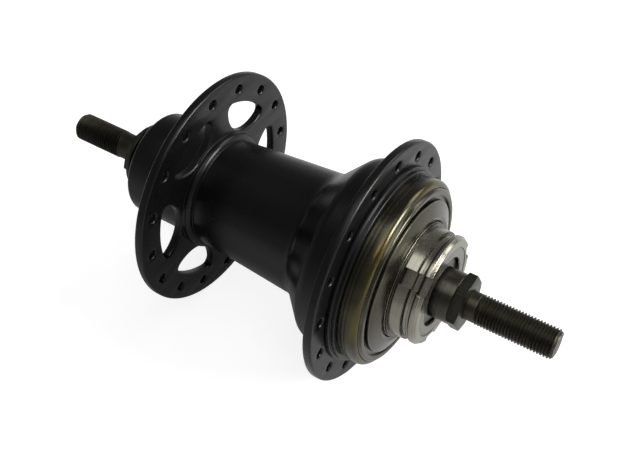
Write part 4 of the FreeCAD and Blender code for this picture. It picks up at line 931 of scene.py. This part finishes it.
# Blacked steel that grease keeps dark and smooth.
cone_steel = turned_metal("cone_steel", CONE_STEEL, CONE_WORN, 0.3, line_depth=0.002, stain=0.3)
finish(right_cone, "axle_group", "black_oxide_steel", cone_steel, "right_cone")


# Pieces inside the hub: the three rows of balls with their cages, the roller clutch, the brake
# cone with its spring, the bronze shoes, and the pressed-in steel sleeve and cup.
# They keep the shapes that they have in the frame, and get a finish each.
BALL_STEEL = "#B4B3B0"
BALL_WORN = "#D0CFCB"
SPRING_STEEL = "#8C8A84"
SPRING_WORN = "#A9A7A0"
PHOSPHATE = "#3E3E3B"
PHOSPHATE_WORN = "#5B5A55"
BRONZE = "#8A6436"
BRONZE_WORN = "#B08A52"


def dress(material, slot, *names):
    """Gives nodes of the frame that keep their own shape a finish."""
    for name in names:
        node = nodes[name]
        node.data.materials.clear()
        node.data.materials.append(material)


# Bearing steel, ground and lapped: close to a mirror.
bearing_steel = turned_metal("bearing_steel", BALL_STEEL, BALL_WORN, 0.12, line_depth=0.001, stain=0.15)
dress(bearing_steel, "ground_steel",
      "left_balls", "right_balls", "driver_balls", "drive_rollers", "left_bearing_cup")
# Spring steel, rolled as strip or drawn as wire: mid grey with soft highlights.
spring_steel = turned_metal("spring_steel", SPRING_STEEL, SPRING_WORN, 0.28, line_depth=0.002)
dress(spring_steel, "pressed_steel",
      "left_ball_cage", "right_ball_cage", "driver_ball_cage", "drag_spring", "brake_liner")
# Phosphated steel: a dull dark grey coat that holds oil.
phosphated_steel = turned_metal("phosphated_steel", PHOSPHATE, PHOSPHATE_WORN, 0.55, line_depth=0.004)
dress(phosphated_steel, "phosphate_steel", "roller_cage", "brake_cone")
# Bearing bronze, turned and bored: warm brown, with the tool's marks in its highlights.
bronze = turned_metal("bearing_bronze", BRONZE, BRONZE_WORN, 0.34, line_depth=0.005)
dress(bronze, "bronze", "brake_shoe_1", "brake_shoe_2", "brake_shoe_3", "brake_shoe_4")

# Studio: a white table, a backdrop that is brightest at the horizon, and three soft lamps.
# The camera sees table and backdrop as white. The metals mirror the table nearly unlifted, with the
# hub's own shadow on it, and the backdrop at its plain level.
WHITE = "#FFFFFF"
TABLE_SIZE = 6.0
TABLE_WHITE = "#CCCCCC"
LIFTED_GREY = "#A0A0A0"
LIFT = 0.82
MIRRORED_LIFT = 0.05
HORIZON_LEVEL = 0.42
TOP_LEVEL = 0.2


def share_of_rays(material):
    """How much of the lifted white each kind of ray sees: all for the camera and glass, some for mirrors."""
    path = add_node(material, "ShaderNodeLightPath")
    mirrored = add_node(material, "ShaderNodeMath", [(0, path.outputs["Is Glossy Ray"]), (1, MIRRORED_LIFT)],
                        operation="MULTIPLY")
    seen = add_node(material, "ShaderNodeMath", [
        (0, path.outputs["Is Camera Ray"]), (1, path.outputs["Is Transmission Ray"])], operation="MAXIMUM")
    both = add_node(material, "ShaderNodeMath", [(0, seen.outputs[0]), (1, mirrored.outputs[0])],
                    operation="MAXIMUM")
    return both.outputs[0]


bpy.ops.object.select_all(action="DESELECT")
bpy.ops.mesh.primitive_plane_add(size=TABLE_SIZE, location=(0, 0, -mm(FLANGE_RADIUS + 0.1)))
table = bpy.context.object
table.name = "table"
white_table = new_material("white_table")
matte = add_node(white_table, "ShaderNodeBsdfDiffuse", [("Color", linear(TABLE_WHITE))])
glow = add_node(white_table, "ShaderNodeEmission", [("Color", linear(WHITE)), ("Strength", LIFT)])
pale = add_node(white_table, "ShaderNodeBsdfDiffuse", [("Color", linear(LIFTED_GREY))])
lifted = add_node(white_table, "ShaderNodeAddShader", [(0, pale.outputs[0]), (1, glow.outputs[0])])
shown = add_node(white_table, "ShaderNodeMixShader", [(0, share_of_rays(white_table)),
                                                      (1, matte.outputs[0]), (2, lifted.outputs[0])])
add_node(white_table, "ShaderNodeOutputMaterial", [("Surface", shown.outputs[0])])
table.data.materials.append(white_table)

world = bpy.data.worlds.new("studio")
bpy.context.scene.world = world
world.use_nodes = True
world.node_tree.nodes.clear()
direction = add_node(world, "ShaderNodeTexCoord").outputs["Generated"]
height = add_node(world, "ShaderNodeSeparateXYZ", [(0, direction)])
level = add_node(world, "ShaderNodeMapRange", [
    ("Value", height.outputs[2]), (1, 0.05), (2, 0.45), (3, HORIZON_LEVEL), (4, TOP_LEVEL)],
                 interpolation_type="SMOOTHSTEP")
studio = add_node(world, "ShaderNodeBackground", [("Color", linear(WHITE)), ("Strength", level.outputs[0])])
backdrop = add_node(world, "ShaderNodeBackground", [("Color", linear(WHITE)), ("Strength", 1.0)])
camera_ray = add_node(world, "ShaderNodeLightPath").outputs["Is Camera Ray"]
sky = add_node(world, "ShaderNodeMixShader", [
    (0, camera_ray), (1, studio.outputs[0]), (2, backdrop.outputs[0])])
add_node(world, "ShaderNodeOutputWorld", [("Surface", sky.outputs[0])])


def soft_lamp(name, place, width, power):
    """A square soft box at a place in metres, aimed at the hub."""
    lamp = bpy.data.lights.new(name, "AREA")
    lamp.size = width
    lamp.energy = power
    stand = bpy.data.objects.new(name, lamp)
    bpy.context.scene.collection.objects.link(stand)
    stand.location = place
    stand.rotation_euler = (-Vector(place)).to_track_quat("-Z", "Y").to_euler()


soft_lamp("front_light", (0.28, -0.86, 0.5), 0.46, 15.0)
soft_lamp("ceiling_light", (-0.2, -0.1, 1.05), 0.8, 4.0)
soft_lamp("side_light", (0.8, -0.4, 0.6), 0.5, 3.0)

# Camera: where the photograph was taken from, looking down on the hub at 45 degrees.
# Its picture is shifted slightly off the lens's middle, as far as the photograph's framing needs.
CAMERA_PLACE = (-0.1804, -0.1236, 0.2238)
CAMERA_YAW = 32.7
CAMERA_PITCH = -45.4
FOCAL_PIXELS = 988.0
PICTURE_WIDTH = 640
PICTURE_HEIGHT = 462
MIDDLE_PIXEL = (316.0, 219.0)
SENSOR_WIDTH = 36.0

lens = bpy.data.cameras.new("camera")
lens.sensor_width = SENSOR_WIDTH
lens.lens = FOCAL_PIXELS * SENSOR_WIDTH / PICTURE_WIDTH
lens.shift_x = (PICTURE_WIDTH / 2 - MIDDLE_PIXEL[0]) / PICTURE_WIDTH
lens.shift_y = (MIDDLE_PIXEL[1] - PICTURE_HEIGHT / 2) / PICTURE_WIDTH
lens.clip_start = 0.01
camera = bpy.data.objects.new("camera", lens)
bpy.context.scene.collection.objects.link(camera)
camera.location = CAMERA_PLACE
yaw = math.radians(CAMERA_YAW)
pitch = math.radians(CAMERA_PITCH)
look = Vector((math.cos(pitch) * math.cos(yaw), math.cos(pitch) * math.sin(yaw), math.sin(pitch)))
camera.rotation_euler = look.to_track_quat("-Z", "Y").to_euler()
bpy.context.scene.camera = camera
bpy.context.scene.view_settings.view_transform = "Standard"
